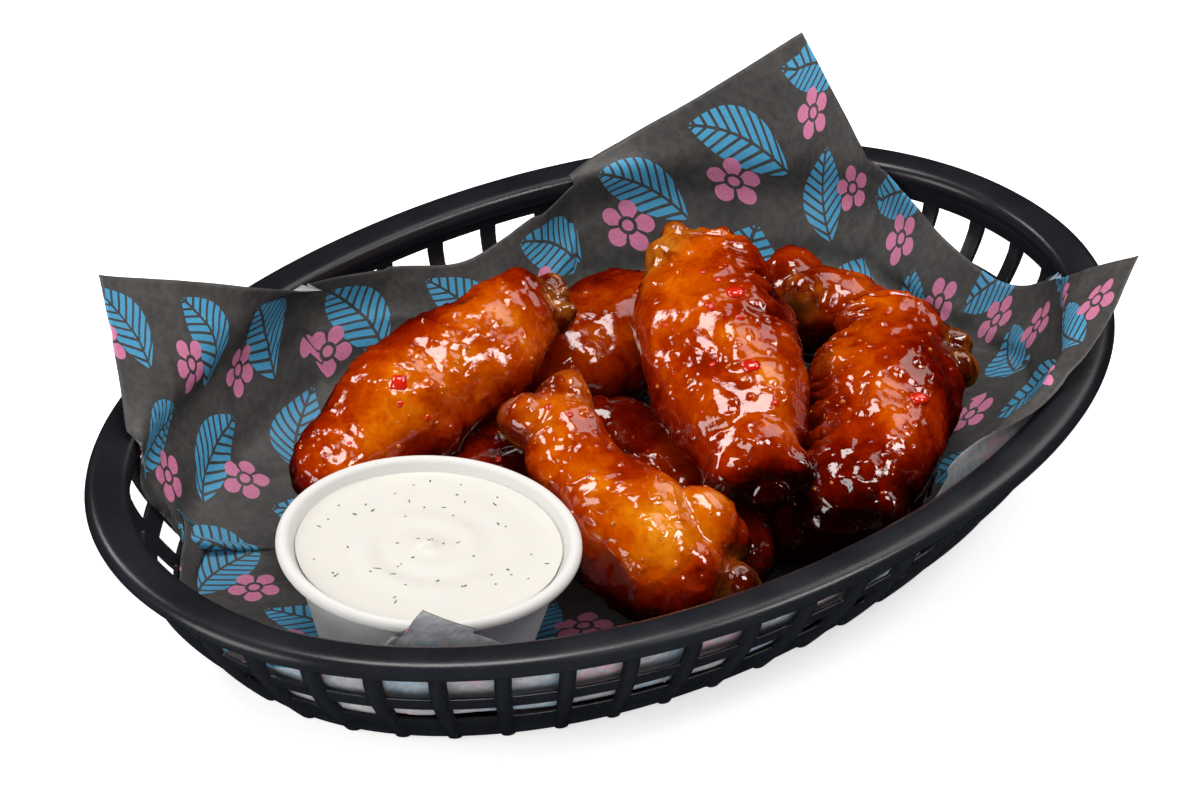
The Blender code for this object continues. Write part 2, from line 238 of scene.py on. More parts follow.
class BasketSettings(bpy.types.PropertyGroup):
    """Sizes and colour of the moulded basket."""
    ribs: bpy.props.IntProperty(
        name="Ribs", description="Number of upright ribs round the wall", default=46, min=8)
    rib_width: bpy.props.FloatProperty(
        name="Rib width", description="Width of one rib", default=0.0039, unit="LENGTH")
    rib_relief: bpy.props.FloatProperty(
        name="Rib relief", description="How far a rib stands out from the bands between windows",
        default=0.0019, unit="LENGTH")
    wall: bpy.props.FloatProperty(
        name="Wall", description="Thickness of the wall", default=0.0029, unit="LENGTH")
    floor: bpy.props.FloatProperty(
        name="Floor", description="Thickness of the floor", default=0.0024, unit="LENGTH")
    colour: bpy.props.StringProperty(
        name="Colour", description="Colour of the plastic as an sRGB hex value", default="#14161a")


class PaperSettings(bpy.types.PropertyGroup):
    """Sizes and colours of the printed sheet of paper."""
    length: bpy.props.FloatProperty(
        name="Length", description="Length of the flat sheet", default=0.226, unit="LENGTH")
    width: bpy.props.FloatProperty(
        name="Width", description="Width of the flat sheet", default=0.198, unit="LENGTH")
    thickness: bpy.props.FloatProperty(
        name="Thickness", description="Thickness of the sheet as drawn", default=0.00018,
        unit="LENGTH")
    crumple: bpy.props.FloatProperty(
        name="Crumple", description="Height of the sheet's soft creases", default=0.0011,
        unit="LENGTH")
    face: bpy.props.StringProperty(
        name="Face", description="Colour of the printed side as an sRGB hex value",
        default="#444444")
    reverse: bpy.props.StringProperty(
        name="Reverse", description="Colour of the plain side as an sRGB hex value",
        default="#8f9298")
    leaf: bpy.props.StringProperty(
        name="Leaf", description="Colour of the printed leaves as an sRGB hex value",
        default="#4aa3cf")
    blossom: bpy.props.StringProperty(
        name="Blossom", description="Colour of the printed blossoms as an sRGB hex value",
        default="#d87fa6")


class PotSettings(bpy.types.PropertyGroup):
    """Sizes and colours of the pot and its dip."""
    rim_radius: bpy.props.FloatProperty(
        name="Rim radius", description="Radius of the pot over its rolled rim", default=0.0335,
        unit="LENGTH")
    base_radius: bpy.props.FloatProperty(
        name="Base radius", description="Radius of the pot at its base", default=0.022,
        unit="LENGTH")
    bead: bpy.props.FloatProperty(
        name="Bead", description="Radius of the rolled rim's section", default=0.0015,
        unit="LENGTH")
    peak: bpy.props.FloatProperty(
        name="Peak", description="Height of the dip's stirred peak", default=0.0015,
        unit="LENGTH")
    herbs: bpy.props.IntProperty(
        name="Herbs", description="Number of dried herb flecks in the dip", default=52, min=0)
    dip_colour: bpy.props.StringProperty(
        name="Dip colour", description="Colour of the dip as an sRGB hex value", default="#dadad5")


class WingSettings(bpy.types.PropertyGroup):
    """How the skin and glaze of the wings are shaped."""
    grain: bpy.props.FloatProperty(
        name="Grain", description="Size of the faces that the skin is made of", default=0.0006,
        unit="LENGTH")
    lumps: bpy.props.FloatProperty(
        name="Lumps", description="Height of the meat's soft lumps", default=0.0014,
        unit="LENGTH")
    wrinkles: bpy.props.FloatProperty(
        name="Wrinkles", description="Height of the skin's wrinkles", default=0.0006,
        unit="LENGTH")
    pimples: bpy.props.FloatProperty(
        name="Pimples", description="Height of the skin's small bumps", default=0.0004,
        unit="LENGTH")
    flakes: bpy.props.IntProperty(
        name="Chili flakes", description="Number of small chili flakes", default=38, min=0)
    beads: bpy.props.IntProperty(
        name="Glaze beads", description="Number of small beads of glaze", default=180, min=0)


class StageSettings(bpy.types.PropertyGroup):
    """The floor, the lights and the camera."""
    floor_size: bpy.props.FloatProperty(
        name="Floor", description="Width of the floor", default=6.0, unit="LENGTH")
    floor_colour: bpy.props.StringProperty(
        name="Floor colour", description="Colour of the floor as an sRGB hex value",
        default="#fbfbfa")
    lens: bpy.props.FloatProperty(
        name="Lens", description="Focal length of the camera in millimetres", default=168.24)
    key_power: bpy.props.FloatProperty(
        name="Key power", description="Power of the large softbox", default=4.4, unit="POWER")
    side_power: bpy.props.FloatProperty(
        name="Side power", description="Power of the softbox on the right", default=1.7,
        unit="POWER")
    left_power: bpy.props.FloatProperty(
        name="Left power", description="Power of the softbox on the left", default=3.5,
        unit="POWER")
    back_power: bpy.props.FloatProperty(
        name="Back power", description="Power of the softbox behind the basket", default=1.9,
        unit="POWER")
    front_power: bpy.props.FloatProperty(
        name="Front power", description="Power of the small softbox at the front right",
        default=2.0, unit="POWER")
    veil_power: bpy.props.FloatProperty(
        name="Veil power", description="Power of the wide veil at the front", default=3.1,
        unit="POWER")
    strip_power: bpy.props.FloatProperty(
        name="Strip power", description="Power of the low strip light at the front", default=2.6,
        unit="POWER")


# ---------------------------------------------------------------- shared helpers


def linear(hex_colour):
    """Turn an sRGB hex value into a linear colour with alpha."""
    parts = [int(hex_colour[place:place + 2], 16) / 255 for place in (1, 3, 5)]
    return tuple(part / 12.92 if part <= 0.04045 else ((part + 0.055) / 1.055) ** 2.4
                 for part in parts) + (1.0,)


def add_node(tree, kind, inputs=None, **settings):
    """Add one node, set its properties and sockets, and link the sockets that are given."""
    node = tree.nodes.new(kind)
    for name, value in settings.items():
        setattr(node, name, value)
    for name, value in (inputs or {}).items():
        if isinstance(value, bpy.types.NodeSocket):
            tree.links.new(value, node.inputs[name])
        else:
            node.inputs[name].default_value = value
    return node


def new_material(name):
    """A material with its node tree and its Principled shader."""
    material = bpy.data.materials.new(name)
    material.use_nodes = True
    tree = material.node_tree
    return material, tree, tree.nodes["Principled BSDF"]


def set_sockets(node, **values):
    """Set a shader's own sockets; underscores in a name stand for spaces."""
    for name, value in values.items():
        node.inputs[name.replace("_", " ")].default_value = value


class Level:
    """A number that a material's tree works out, so that sums can be written as plain sums."""

    def __init__(self, tree, socket):
        self.tree = tree
        self.socket = socket

    def step(self, operation, *others):
        """The level that an operation makes of this one and others."""
        terms = [getattr(term, "socket", term) for term in (self, *others)]
        node = add_node(self.tree, "ShaderNodeMath", dict(enumerate(terms)), operation=operation)
        return Level(self.tree, node.outputs[0])

    def __rsub__(self, whole):
        return self * -1.0 + whole


for sign, operation in (("add", "ADD"), ("sub", "SUBTRACT"), ("mul", "MULTIPLY"),
                        ("truediv", "DIVIDE"), ("mod", "FLOORED_MODULO"), ("pow", "POWER"),
                        ("lt", "LESS_THAN"), ("gt", "GREATER_THAN"), ("abs", "ABSOLUTE")):
    setattr(Level, f"__{sign}__", partialmethod(Level.step, operation))


def pattern_scale(size, unit=METRE):
    """Scale of a pattern whose marks have a size, on a map with a unit, both in millimetres."""
    return unit / size


def clouded(tree, place, size, low, high, **noise):
    """A colour that drifts between two tones in clouds of a size, and the clouds' level."""
    cloud = add_node(tree, "ShaderNodeTexNoise", {
        "Vector": place, "Scale": pattern_scale(size), **noise})
    level = cloud.outputs["Fac"]
    tint = add_node(tree, "ShaderNodeMixRGB", {
        "Fac": level, "Color1": linear(low), "Color2": linear(high)})
    return tint.outputs[0], level


def add_mesh(name, verts, faces, materials, smooth=True):
    """Make a mesh object from points in millimetres."""
    mesh = bpy.data.meshes.new(name)
    mesh.from_pydata((np.asarray(verts, float) * MM).tolist(), [], [list(f) for f in faces])
    mesh.update()
    for material in materials:
        mesh.materials.append(material)
    if smooth:
        mesh.shade_smooth()
    piece = bpy.data.objects.new(name, mesh)
    bpy.context.scene.collection.objects.link(piece)
    return piece


def settle(piece, slot, *nodes):
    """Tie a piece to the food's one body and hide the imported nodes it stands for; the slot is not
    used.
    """
    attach(piece, "root")
    if nodes:
        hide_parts(*nodes)


def grid_faces(rows, columns, closed=True, start=0):
    """Quads between the rows of a grid of points; closed joins its last column to its first."""
    faces = []
    for row in range(rows - 1):
        for column in range(columns if closed else columns - 1):
            after = (column + 1) % columns
            low = start + row * columns
            high = low + columns
            faces.append((low + column, low + after, high + after, high + column))
    return faces


def closed_faces(rows, columns, start=0, flip=False):
    """Faces of rings of points that one point before them and one after them close."""
    faces = grid_faces(rows, columns, start=start + 1)
    last = start + 1 + (rows - 1) * columns
    for step in range(columns):
        after = (step + 1) % columns
        faces.append((start, start + 1 + after, start + 1 + step))
        faces.append((last + columns, last + step, last + after))
    return [tuple(reversed(face)) for face in faces] if flip else faces


def value_noise(points, size, shift=0.0):
    """Smooth noise from -1 to 1 whose lumps are about one size across, on an array of points."""
    place = np.asarray(points, float) / size + shift
    cell = np.floor(place).astype(int)
    part = place - cell
    part = part ** 3 * (part * (part * 6 - 15) + 10)
    total = np.zeros(len(place))
    for corner in product((0, 1), repeat=3):
        weight = np.prod(np.where(np.array(corner, bool), part, 1 - part), axis=1)
        index = (cell + corner) % 32
        total += weight * LATTICE[index[:, 0], index[:, 1], index[:, 2]]
    return total


def layered_noise(points, size, layers, shift=0.0):
    """Noise with finer and lower layers on top."""
    total = np.zeros(len(points))
    for layer in range(layers):
        total += value_noise(points, size / 2 ** layer, shift + layer * 5.3) / 2 ** layer
    return total


def oval_points(angles, insets, height):
    """Points on the basket's oval, pulled in by the insets at its ends and its sides."""
    cos, sin = np.cos(angles), np.sin(angles)
    x = (HALF_LENGTH - insets[0]) * np.sign(cos) * np.abs(cos) ** (2 / OVAL_POWER)
    y = (HALF_WIDTH - insets[1]) * np.sign(sin) * np.abs(sin) ** (2 / OVAL_POWER)
    return np.stack((x, y, np.broadcast_to(height, x.shape)), axis=-1)


def wall_insets(height):
    """How far the wall's outer face lies inside the outline at a height."""
    fall = np.maximum(0.0, 1.0 - height / WALL_TOP) ** WALL_BULGE
    return np.array([top + (base - top) * fall for top, base in zip(TOP_INSET, BASE_INSET)])


# ---------------------------------------------------------------- materials


def black_polypropylene_moulded(colour):
    """Polypropylene, moulded in a lightly polished tool: satin, with soft flow marks."""
    material, tree, shader = new_material("black_polypropylene_moulded")
    place = add_node(tree, "ShaderNodeTexCoord").outputs["Object"]
    tint, flow = clouded(tree, place, 16.7, colour, "#1d2026", Detail=3.0)
    # The tool's grain is drawn 0.4 mm across, coarser than life, so that it shows.
    grain = add_node(tree, "ShaderNodeTexNoise", {
        "Vector": place, "Scale": pattern_scale(0.385), "Detail": 2.0})
    tree.links.new(tint, shader.inputs["Base Color"])
    gloss = add_node(tree, "ShaderNodeMapRange", {
        "Value": flow, "From Min": 0.3, "From Max": 0.7, "To Min": 0.24, "To Max": 0.34})
    tree.links.new(gloss.outputs[0], shader.inputs["Roughness"])
    bump = add_node(tree, "ShaderNodeBump", {
        "Height": grain.outputs["Fac"], "Strength": 0.12, "Distance": 0.0002})
    tree.links.new(bump.outputs[0], shader.inputs["Normal"])
    set_sockets(shader, IOR=1.49)
    return material


def print_masks(x, y):
    """Where the print's leaves and its blossoms lie, at a place on the sheet in millimetres."""
    wide, high = PRINT_CELL
    odd = (y / high).step("FLOOR") % 2.0
    across = ((x + odd * (wide / 2)) % wide - wide / 2) * (1.0 - odd * 2.0)
    along = y % high - high / 2
    # The leaf's own axes: along its rib, and off a rib that bows.
    rib = across * 0.62 + along * 0.785
    off = abs(across * 0.785 - along * 0.62 + 3.6 - rib * rib * 0.022)
    # Leaflets that sweep forward, with a bare line between them and along the rib.
    leaflets = abs(((rib - off * 0.75) / LEAFLET_PITCH).step("FRACT") - 0.5) < 0.34
    inside = off < (1.0 - abs(rib / LEAF_HALF_LENGTH) ** 2.2) * LEAF_HALF_WIDTH
    leaf = leaflets * inside * (off > 0.38)
    # The blossom: petals with a bare line between them, round a dark ring and an eye.
    px, py = across - BLOSSOM_PLACE[0], along - BLOSSOM_PLACE[1]
    radius = (px * px + py * py).step("SQRT")
    petal = abs(((py.step("ARCTAN2", px) + BLOSSOM_TURN) * (PETALS / 2)).step("COSINE"))
    petals = (petal > 0.28).step("MAXIMUM", radius < 1.5)
    blossom = (radius < petal ** 0.55 * 3.6 + 2.4) * (abs(radius - 1.7) > 0.42) * petals
    return leaf, blossom


def greaseproof_paper(name, ground, leaf_colour, blossom_colour, ink, roughness):
    """Greaseproof paper, calendered and printed: matt, cloudy, with a faint sheen on its folds."""
    material, tree, shader = new_material(name)
    sheet = add_node(tree, "ShaderNodeUVMap", uv_map="sheet").outputs["UV"]
    place = add_node(tree, "ShaderNodeSeparateXYZ", {0: sheet})
    leaf, blossom = print_masks(*(Level(tree, place.outputs[axis]) * MAP_UNIT for axis in "XY"))
    cloud = add_node(tree, "ShaderNodeTexNoise", {
        "Vector": sheet, "Scale": pattern_scale(11.1, MAP_UNIT), "Detail": 5.0,
        "Roughness": 0.62})
    # The fibres are drawn 0.6 mm across and the pulp's flecks 1.8 mm, coarser than life, so that
    # they show.
    fibre = add_node(tree, "ShaderNodeTexNoise", {
        "Vector": sheet, "Scale": pattern_scale(0.588, MAP_UNIT), "Detail": 3.0})
    grain = add_node(tree, "ShaderNodeTexNoise", {
        "Vector": sheet, "Scale": pattern_scale(1.82, MAP_UNIT), "Detail": 4.0})
    both = Level(tree, cloud.outputs["Fac"]) + Level(tree, grain.outputs["Fac"])
    flecked = add_node(tree, "ShaderNodeMapRange", {
        "Value": both.socket, "From Min": 0.75, "From Max": 1.25})
    base = linear(ground)
    mottled = add_node(tree, "ShaderNodeMixRGB", {
        "Fac": flecked.outputs[0], "Color1": (*(0.72 * part for part in base[:3]), 1.0),
        "Color2": (1.36 * base[0], 1.3 * base[1], 1.22 * base[2], 1.0)})
    worn = add_node(tree, "ShaderNodeMapRange", {
        "Value": fibre.outputs["Fac"], "From Min": 0.35, "From Max": 0.6,
        "To Min": 0.78 * ink, "To Max": ink})
    worn = Level(tree, worn.outputs[0])
    inked = mottled.outputs[0]
    for mask, colour in ((leaf, leaf_colour), (blossom, blossom_colour)):
        inked = add_node(tree, "ShaderNodeMixRGB", {
            "Fac": (mask * worn).socket, "Color1": inked, "Color2": linear(colour)}).outputs[0]
    tree.links.new(inked, shader.inputs["Base Color"])
    bump = add_node(tree, "ShaderNodeBump", {
        "Height": fibre.outputs["Fac"], "Strength": 0.15, "Distance": 0.0001})
    tree.links.new(bump.outputs[0], shader.inputs["Normal"])
    set_sockets(shader, Roughness=roughness, IOR=1.45)
    return material


def pulp_paper_embossed():
    """White coated paper, rolled and embossed with a fine diamond: matt, with a soft rim."""
    material, tree, shader = new_material("pulp_paper_embossed")
    wrap = add_node(tree, "ShaderNodeUVMap", uv_map="wrap").outputs["UV"]
    place = add_node(tree, "ShaderNodeSeparateXYZ", {0: wrap})
    x, y = (Level(tree, place.outputs[axis]) for axis in "XY")
    waves = MAP_UNIT * 2 * math.pi / EMBOSS_PITCH
    diamonds = ((x + y) * waves).step("SINE") * ((x - y) * waves).step("SINE")
    # The rolled rim above the wall is left smooth.
    emboss = (diamonds * (y < (POT_TOP - 3.4) / MAP_UNIT)).socket
    bump = add_node(tree, "ShaderNodeBump", {
        "Height": emboss, "Strength": 1.0, "Distance": 0.00016})
    tree.links.new(bump.outputs[0], shader.inputs["Normal"])
    # Painted shade and light: the diamonds' hollows are drawn darker and their crowns lighter.
    painted_emboss_shade = add_node(tree, "ShaderNodeMapRange", {"Value": emboss, "From Min": -1.0})
    tint = add_node(tree, "ShaderNodeMixRGB", {
        "Fac": painted_emboss_shade.outputs[0], "Color1": linear("#c9c9c6"), "Color2": linear("#f1f1ef")})
    tree.links.new(tint.outputs[0], shader.inputs["Base Color"])
    set_sockets(shader, Roughness=0.55, IOR=1.45, Subsurface_Weight=0.12,
                Subsurface_Radius=(0.002, 0.002, 0.002))
    return material


def sour_cream_dip(colour):
    """A stirred cream dip: dense and smooth, with a soft wet sheen and light bleeding through."""
    material, tree, shader = new_material("sour_cream_dip")
    place = add_node(tree, "ShaderNodeTexCoord").outputs["Object"]
    tint, cloud = clouded(tree, place, 5.56, "#dfddd4", colour, Detail=4.0)
    tree.links.new(tint, shader.inputs["Base Color"])
    bump = add_node(tree, "ShaderNodeBump", {
        "Height": cloud, "Strength": 0.12, "Distance": 0.0004})
    tree.links.new(bump.outputs[0], shader.inputs["Normal"])
    set_sockets(shader, Roughness=0.33, IOR=1.38, Subsurface_Weight=0.35,
                Subsurface_Radius=(0.003, 0.0026, 0.0018))
    return material


def cloudy_material(name, size, low, high, **sockets):
    """A material whose colour drifts between two tones, and whose other sockets are uniform."""
    material, tree, shader = new_material(name)
    place = add_node(tree, "ShaderNodeTexCoord").outputs["Object"]
    tint, _ = clouded(tree, place, size, low, high)
    tree.links.new(tint, shader.inputs["Base Color"])
    set_sockets(shader, **sockets)
    return material


def dried_herb():
    """Crumbled dried dill and parsley: matt, dark green, uneven."""
    return cloudy_material("dried_herb", 2.0, "#2f3a2a", "#7d8a6c", Roughness=0.7)


# Colours of the skin from charred to golden, and of a bare bone end.
ROAST_TONES = ((0.0, "#120100"), (0.16, "#320300"), (0.34, "#6c0d00"), (0.52, "#982600"),
               (0.7, "#be4c00"), (0.86, "#d67408"), (1.0, "#e89620"))
BONE_TONES = ((0.42, "#4a1604"), (0.62, "#b87420"))


def roasted_skin_glazed():
    """Chicken skin, roasted and tossed in a hot honey glaze: golden where it is thin, red-brown
    where it pools, and darker where shade is painted into its level, under a wet coat that mirrors
    the lights in sharp broken patches."""
    material, tree, shader = new_material("roasted_skin_glazed")
    place = add_node(tree, "ShaderNodeTexCoord").outputs["Object"]
    # The level read here carries painted shade on the undersides, the flanks, low down, in the fold
    # hollows and on the wings lying underneath, along with the roast's own tones.
    roast_and_shade = add_node(tree, "ShaderNodeAttribute", attribute_name="roast_and_shade").outputs["Fac"]
    patch = add_node(tree, "ShaderNodeTexNoise", {
        "Vector": place, "Scale": pattern_scale(6.67), "Detail": 6.0, "Roughness": 0.6,
        "Distortion": 0.6})
    speck = add_node(tree, "ShaderNodeTexNoise", {
        "Vector": place, "Scale": pattern_scale(1.11), "Detail": 3.0})
    patchy, specked = (Level(tree, node.outputs["Fac"]) - 0.5 for node in (patch, speck))
    level = Level(tree, roast_and_shade) + patchy * 0.55 + specked * 0.18
    bare = add_node(tree, "ShaderNodeAttribute", attribute_name="bare").outputs["Fac"]
    tones = []
    for fac, stops in ((level.socket, ROAST_TONES), (patch.outputs["Fac"], BONE_TONES)):
        ramp = add_node(tree, "ShaderNodeValToRGB", {0: fac})
        elements = ramp.color_ramp.elements
        while len(elements) < len(stops):
            elements.new(0.5)
        for element, (position, colour) in zip(elements, stops):
            element.position = position
            element.color = linear(colour)
        tones.append(ramp.outputs[0])
    shown = add_node(tree, "ShaderNodeMixRGB", {
        "Fac": bare, "Color1": tones[0], "Color2": tones[1]})
    tree.links.new(shown.outputs[0], shader.inputs["Base Color"])
    pores = add_node(tree, "ShaderNodeTexVoronoi", {
        "Vector": place, "Scale": pattern_scale(2.38)})
    ripple = add_node(tree, "ShaderNodeTexNoise", {
        "Vector": place, "Scale": pattern_scale(3.03), "Detail": 4.0, "Roughness": 0.55})
    skin = add_node(tree, "ShaderNodeBump", {
        "Height": pores.outputs["Distance"], "Strength": 0.12, "Distance": 0.0003})
    skin = add_node(tree, "ShaderNodeBump", {
        "Height": ripple.outputs["Fac"], "Strength": 0.3, "Distance": 0.0005,
        "Normal": skin.outputs[0]})
    tree.links.new(skin.outputs[0], shader.inputs["Normal"])
    tree.links.new(skin.outputs[0], shader.inputs["Coat Normal"])
    set_sockets(shader, Roughness=0.4, IOR=1.4, Specular_IOR_Level=0.0, Coat_Weight=1.0,
                Coat_Roughness=0.03, Coat_IOR=1.64, Subsurface_Weight=0.08,
                Subsurface_Radius=(0.004, 0.0015, 0.0006), Subsurface_Scale=0.6)
    return material


def chili_flake():
    """A soaked chili flake under the glaze: deep glassy red."""
    return cloudy_material(
        "chili_flake", 3.33, "#b40c02", "#ea2a0c", Roughness=0.2, Coat_Weight=1.0,
        Coat_Roughness=0.04, Subsurface_Weight=0.2, Subsurface_Radius=(0.002, 0.0004, 0.0002))


def honey_glaze():
    """A bead of the hot honey glaze itself: clear red-brown syrup."""
    return cloudy_material("honey_glaze", 8.33, "#a83204", "#d87812", Roughness=0.15, IOR=1.48,
                           Coat_Weight=1.0, Coat_Roughness=0.03)


def studio_board(colour):
    """Painted studio board on a light table: flat, pale and matt, with a glow from below."""
    return cloudy_material(
        "studio_board", 333.0, colour, "#fdfdfc", Roughness=0.9, Specular_IOR_Level=0.1,
        Emission_Color=linear("#ffffff"), Emission_Strength=0.62)


# ---------------------------------------------------------------- basket


def rib_columns(count, width):
    """Oval angles of the wall's columns, and for each its distance from its rib's middle."""
    angles = np.linspace(0.0, 2 * math.pi, 2881)
    points = oval_points(angles, TOP_INSET, 0.0)
    arc = np.concatenate(([0.0], np.cumsum(np.linalg.norm(np.diff(points, axis=0), axis=1))))
    share = arc / arc[-1]
    numbered = count * (share + RIB_CROWDING * np.sin(4 * math.pi * share) / (4 * math.pi))
    middles = np.interp(np.arange(count) + 0.5, numbered, arc) + RIB_SHIFT
    half = width / 2
    places, offsets = [], []
    for middle, after in zip(middles, np.append(middles[1:], middles[0] + arc[-1])):
        for offset in RIB_COLUMNS:
            places.append(middle + offset * half)
            offsets.append(offset)
        gap = after - middle - width
        for share in GAP_COLUMNS:
            places.append(middle + half + share * gap)
            offsets.append(2.0)
    return np.interp(places, arc, angles), np.array(offsets)


def lattice_wall(settings):
    """Points and faces of the wall: rounded ribs that stand out from bands, and windows."""
    width, wall = settings.rib_width / MM, settings.wall / MM
    relief = settings.rib_relief / MM
    angles, offsets = rib_columns(settings.ribs, width)
    on_rib = np.abs(offsets) <= 1.0
    crown = np.where(on_rib, np.sqrt(np.clip(1 - offsets ** 2, 0, 1)), 0.0)
    outer, inner = [], []
    for level in WALL_LEVELS:
        insets = wall_insets(level)[:, None]
        fade = min(1.0, 0.5 + level / 3.2)
        sunk = relief * (1 - crown) * fade
        outer.append(oval_points(angles, insets + sunk, level))
        inner.append(oval_points(angles, insets + wall, level))
    columns = len(angles)
    rows = len(WALL_LEVELS)
    points = np.concatenate([np.concatenate(outer), np.concatenate(inner)])
    shut = np.ones((rows - 1, columns), bool)
    for row, (below, above) in enumerate(zip(WALL_LEVELS, WALL_LEVELS[1:])):
        if any(low < (below + above) / 2 < high for low, high in WINDOW_ROWS):
            shut[row] = on_rib & np.roll(on_rib, -1)
    faces = []
    back = rows * columns
    for row in range(rows - 1):
        for column in range(columns):
            if not shut[row, column]:
                continue
            a, b = row * columns + column, row * columns + (column + 1) % columns
            c, d = b + columns, a + columns
            faces.append((a, b, c, d))
            faces.append((back + d, back + c, back + b, back + a))
            if not shut[row, (column + 1) % columns]:
                faces.append((b, back + b, back + c, c))
            if not shut[row, column - 1]:
                faces.append((a, d, back + d, back + a))
            if row == 0 or not shut[row - 1, column]:
                faces.append((a, back + a, back + b, b))
            if row == rows - 2 or not shut[row + 1, column]:
                faces.append((d, c, back + c, back + d))
    return points, faces


def floor_plate(settings, material):
    """The slotted floor of the basket."""
    angles = np.linspace(0, 2 * math.pi, 184, endpoint=False)
    insets = [inset + FLOOR_INSET for inset in BASE_INSET]
    bottom = oval_points(angles, insets, 0.0)
    top = oval_points(angles, [inset - FLOOR_FLARE for inset in insets], settings.floor / MM)
    count = len(angles)
    faces = [tuple(range(count - 1, -1, -1)), tuple(range(count, 2 * count))]
    faces += grid_faces(2, count)
    plate = add_mesh("floor_plate", np.concatenate((bottom, top)), faces, [material], False)
    bm = bmesh.new()
    reach_x = HALF_LENGTH - BASE_INSET[0] - FLOOR_SLOT[0] / 2 - FLOOR_MARGIN[0]
    reach_y = HALF_WIDTH - BASE_INSET[1] - FLOOR_SLOT[1] / 2 - FLOOR_MARGIN[1]
    for row, column in product(range(-4, 5), range(-3, 3)):
        x, y = (column + 0.5) * FLOOR_SLOT_PITCH[0], row * FLOOR_SLOT_PITCH[1]
        if row != 0 and (x / reach_x) ** 2 + (y / reach_y) ** 2 < 1:
            place = Matrix.Translation((x * MM, y * MM, 0.001))
            size = Matrix.Diagonal((FLOOR_SLOT[0] * MM, FLOOR_SLOT[1] * MM, 0.02, 1.0))
            bmesh.ops.create_cube(bm, size=1.0, matrix=place @ size)
    slots = add_mesh("slots", [], [], [], False)
    bm.to_mesh(slots.data)
    bm.free()
    cut = plate.modifiers.new("slots", "BOOLEAN")
    cut.object = slots
    cut.solver = "EXACT"
    bake(plate)
    bpy.data.objects.remove(slots)
    return plate


def bake(piece):
    """Replace a piece's mesh by what its modifiers make."""
    graph = bpy.context.evaluated_depsgraph_get()
    mesh = bpy.data.meshes.new_from_object(piece.evaluated_get(graph))
    piece.modifiers.clear()
    piece.data = mesh


def join(pieces, name):
    """Join pieces into one, by the first one's materials."""
    bm = bmesh.new()
    for piece in pieces:
        bm.from_mesh(piece.data)
    joined = add_mesh(name, [], [], list(pieces[0].data.materials), False)
    bm.to_mesh(joined.data)
    bm.free()
    for piece in pieces:
        bpy.data.objects.remove(piece)
    return joined


class SERVING_OT_basket(bpy.types.Operator):
    """Mould the oval lattice basket: ribbed wall, slotted floor and rolled rim"""
    bl_idname = "serving.make_basket"
    bl_label = "Mould the basket"

    def execute(self, context):
        settings = context.scene.serving_basket
        plastic = black_polypropylene_moulded(settings.colour)
        points, faces = lattice_wall(settings)
        wall = add_mesh("lattice_wall", points, faces, [plastic])
        # A mould leaves no hard edge.
        bevel = wall.modifiers.new("soft_edges", "BEVEL")
        bevel.width = 0.35 * MM
        bevel.segments = 2
        bevel.limit_method = "ANGLE"
        bevel.angle_limit = math.radians(35.0)
        bake(wall)
        plate = floor_plate(settings, plastic)
        angles = np.linspace(0, 2 * math.pi, 368, endpoint=False)
        rings = [oval_points(angles, (inset, inset), height) for inset, height in RIM_SECTION]
        count = len(rings) * len(angles)
        # The last ring is joined to the first, and the faces are turned to look outwards.
        rim_faces = [tuple(index % count for index in reversed(face))
                     for face in grid_faces(len(rings) + 1, len(angles))]
        rim = add_mesh("rolled_rim", np.concatenate(rings), rim_faces, [plastic])
        basket = join([wall, plate, rim], "basket_moulding")
        basket.data.shade_smooth()
        smooth_by_angle(basket, 42.0)
        settle(basket, "basket_plastic", "basket")
        return {"FINISHED"}


def smooth_by_angle(piece, degrees):
    """Keep edges sharper than an angle crisp."""
    bm = bmesh.new()
    bm.from_mesh(piece.data)
    limit = math.radians(degrees)
    for edge in bm.edges:
        if len(edge.link_faces) == 2 and edge.calc_face_angle(0.0) > limit:
            edge.smooth = False
    bm.to_mesh(piece.data)
    bm.free()


# ---------------------------------------------------------------- paper


def smooth_path(points, count):
    """Evenly numbered points on a smooth open curve through the given ones."""
    points = np.asarray(points, float)
    padded = np.concatenate((2 * points[:1] - points[1:2], points, 2 * points[-1:] - points[-2:-1]))
    steps = np.linspace(0, len(points) - 1, count)
    index = np.minimum(steps.astype(int), len(points) - 2)
    t = (steps - index)[:, None]
    p0, p1, p2, p3 = (padded[index + k] for k in range(4))
    return 0.5 * (2 * p1 + (p2 - p0) * t + (2 * p0 - 5 * p1 + 4 * p2 - p3) * t ** 2
                  + (3 * p1 - p0 - 3 * p2 + p3) * t ** 3)


def even_path(points, count):
    """Points at equal distances along a path."""
    steps = np.linalg.norm(np.diff(points, axis=0), axis=1)
    arc = np.concatenate(([0.0], np.cumsum(steps)))
    places = np.linspace(0, arc[-1], count)
    return np.stack([np.interp(places, arc, points[:, axis]) for axis in range(3)], axis=1)


def oval_angle(point):
    """The oval angle at which a point lies."""
    x = math.copysign((abs(point[0]) / HALF_LENGTH) ** (OVAL_POWER / 2), point[0])
    y = math.copysign((abs(point[1]) / HALF_WIDTH) ** (OVAL_POWER / 2), point[1])
    return math.atan2(y, x)


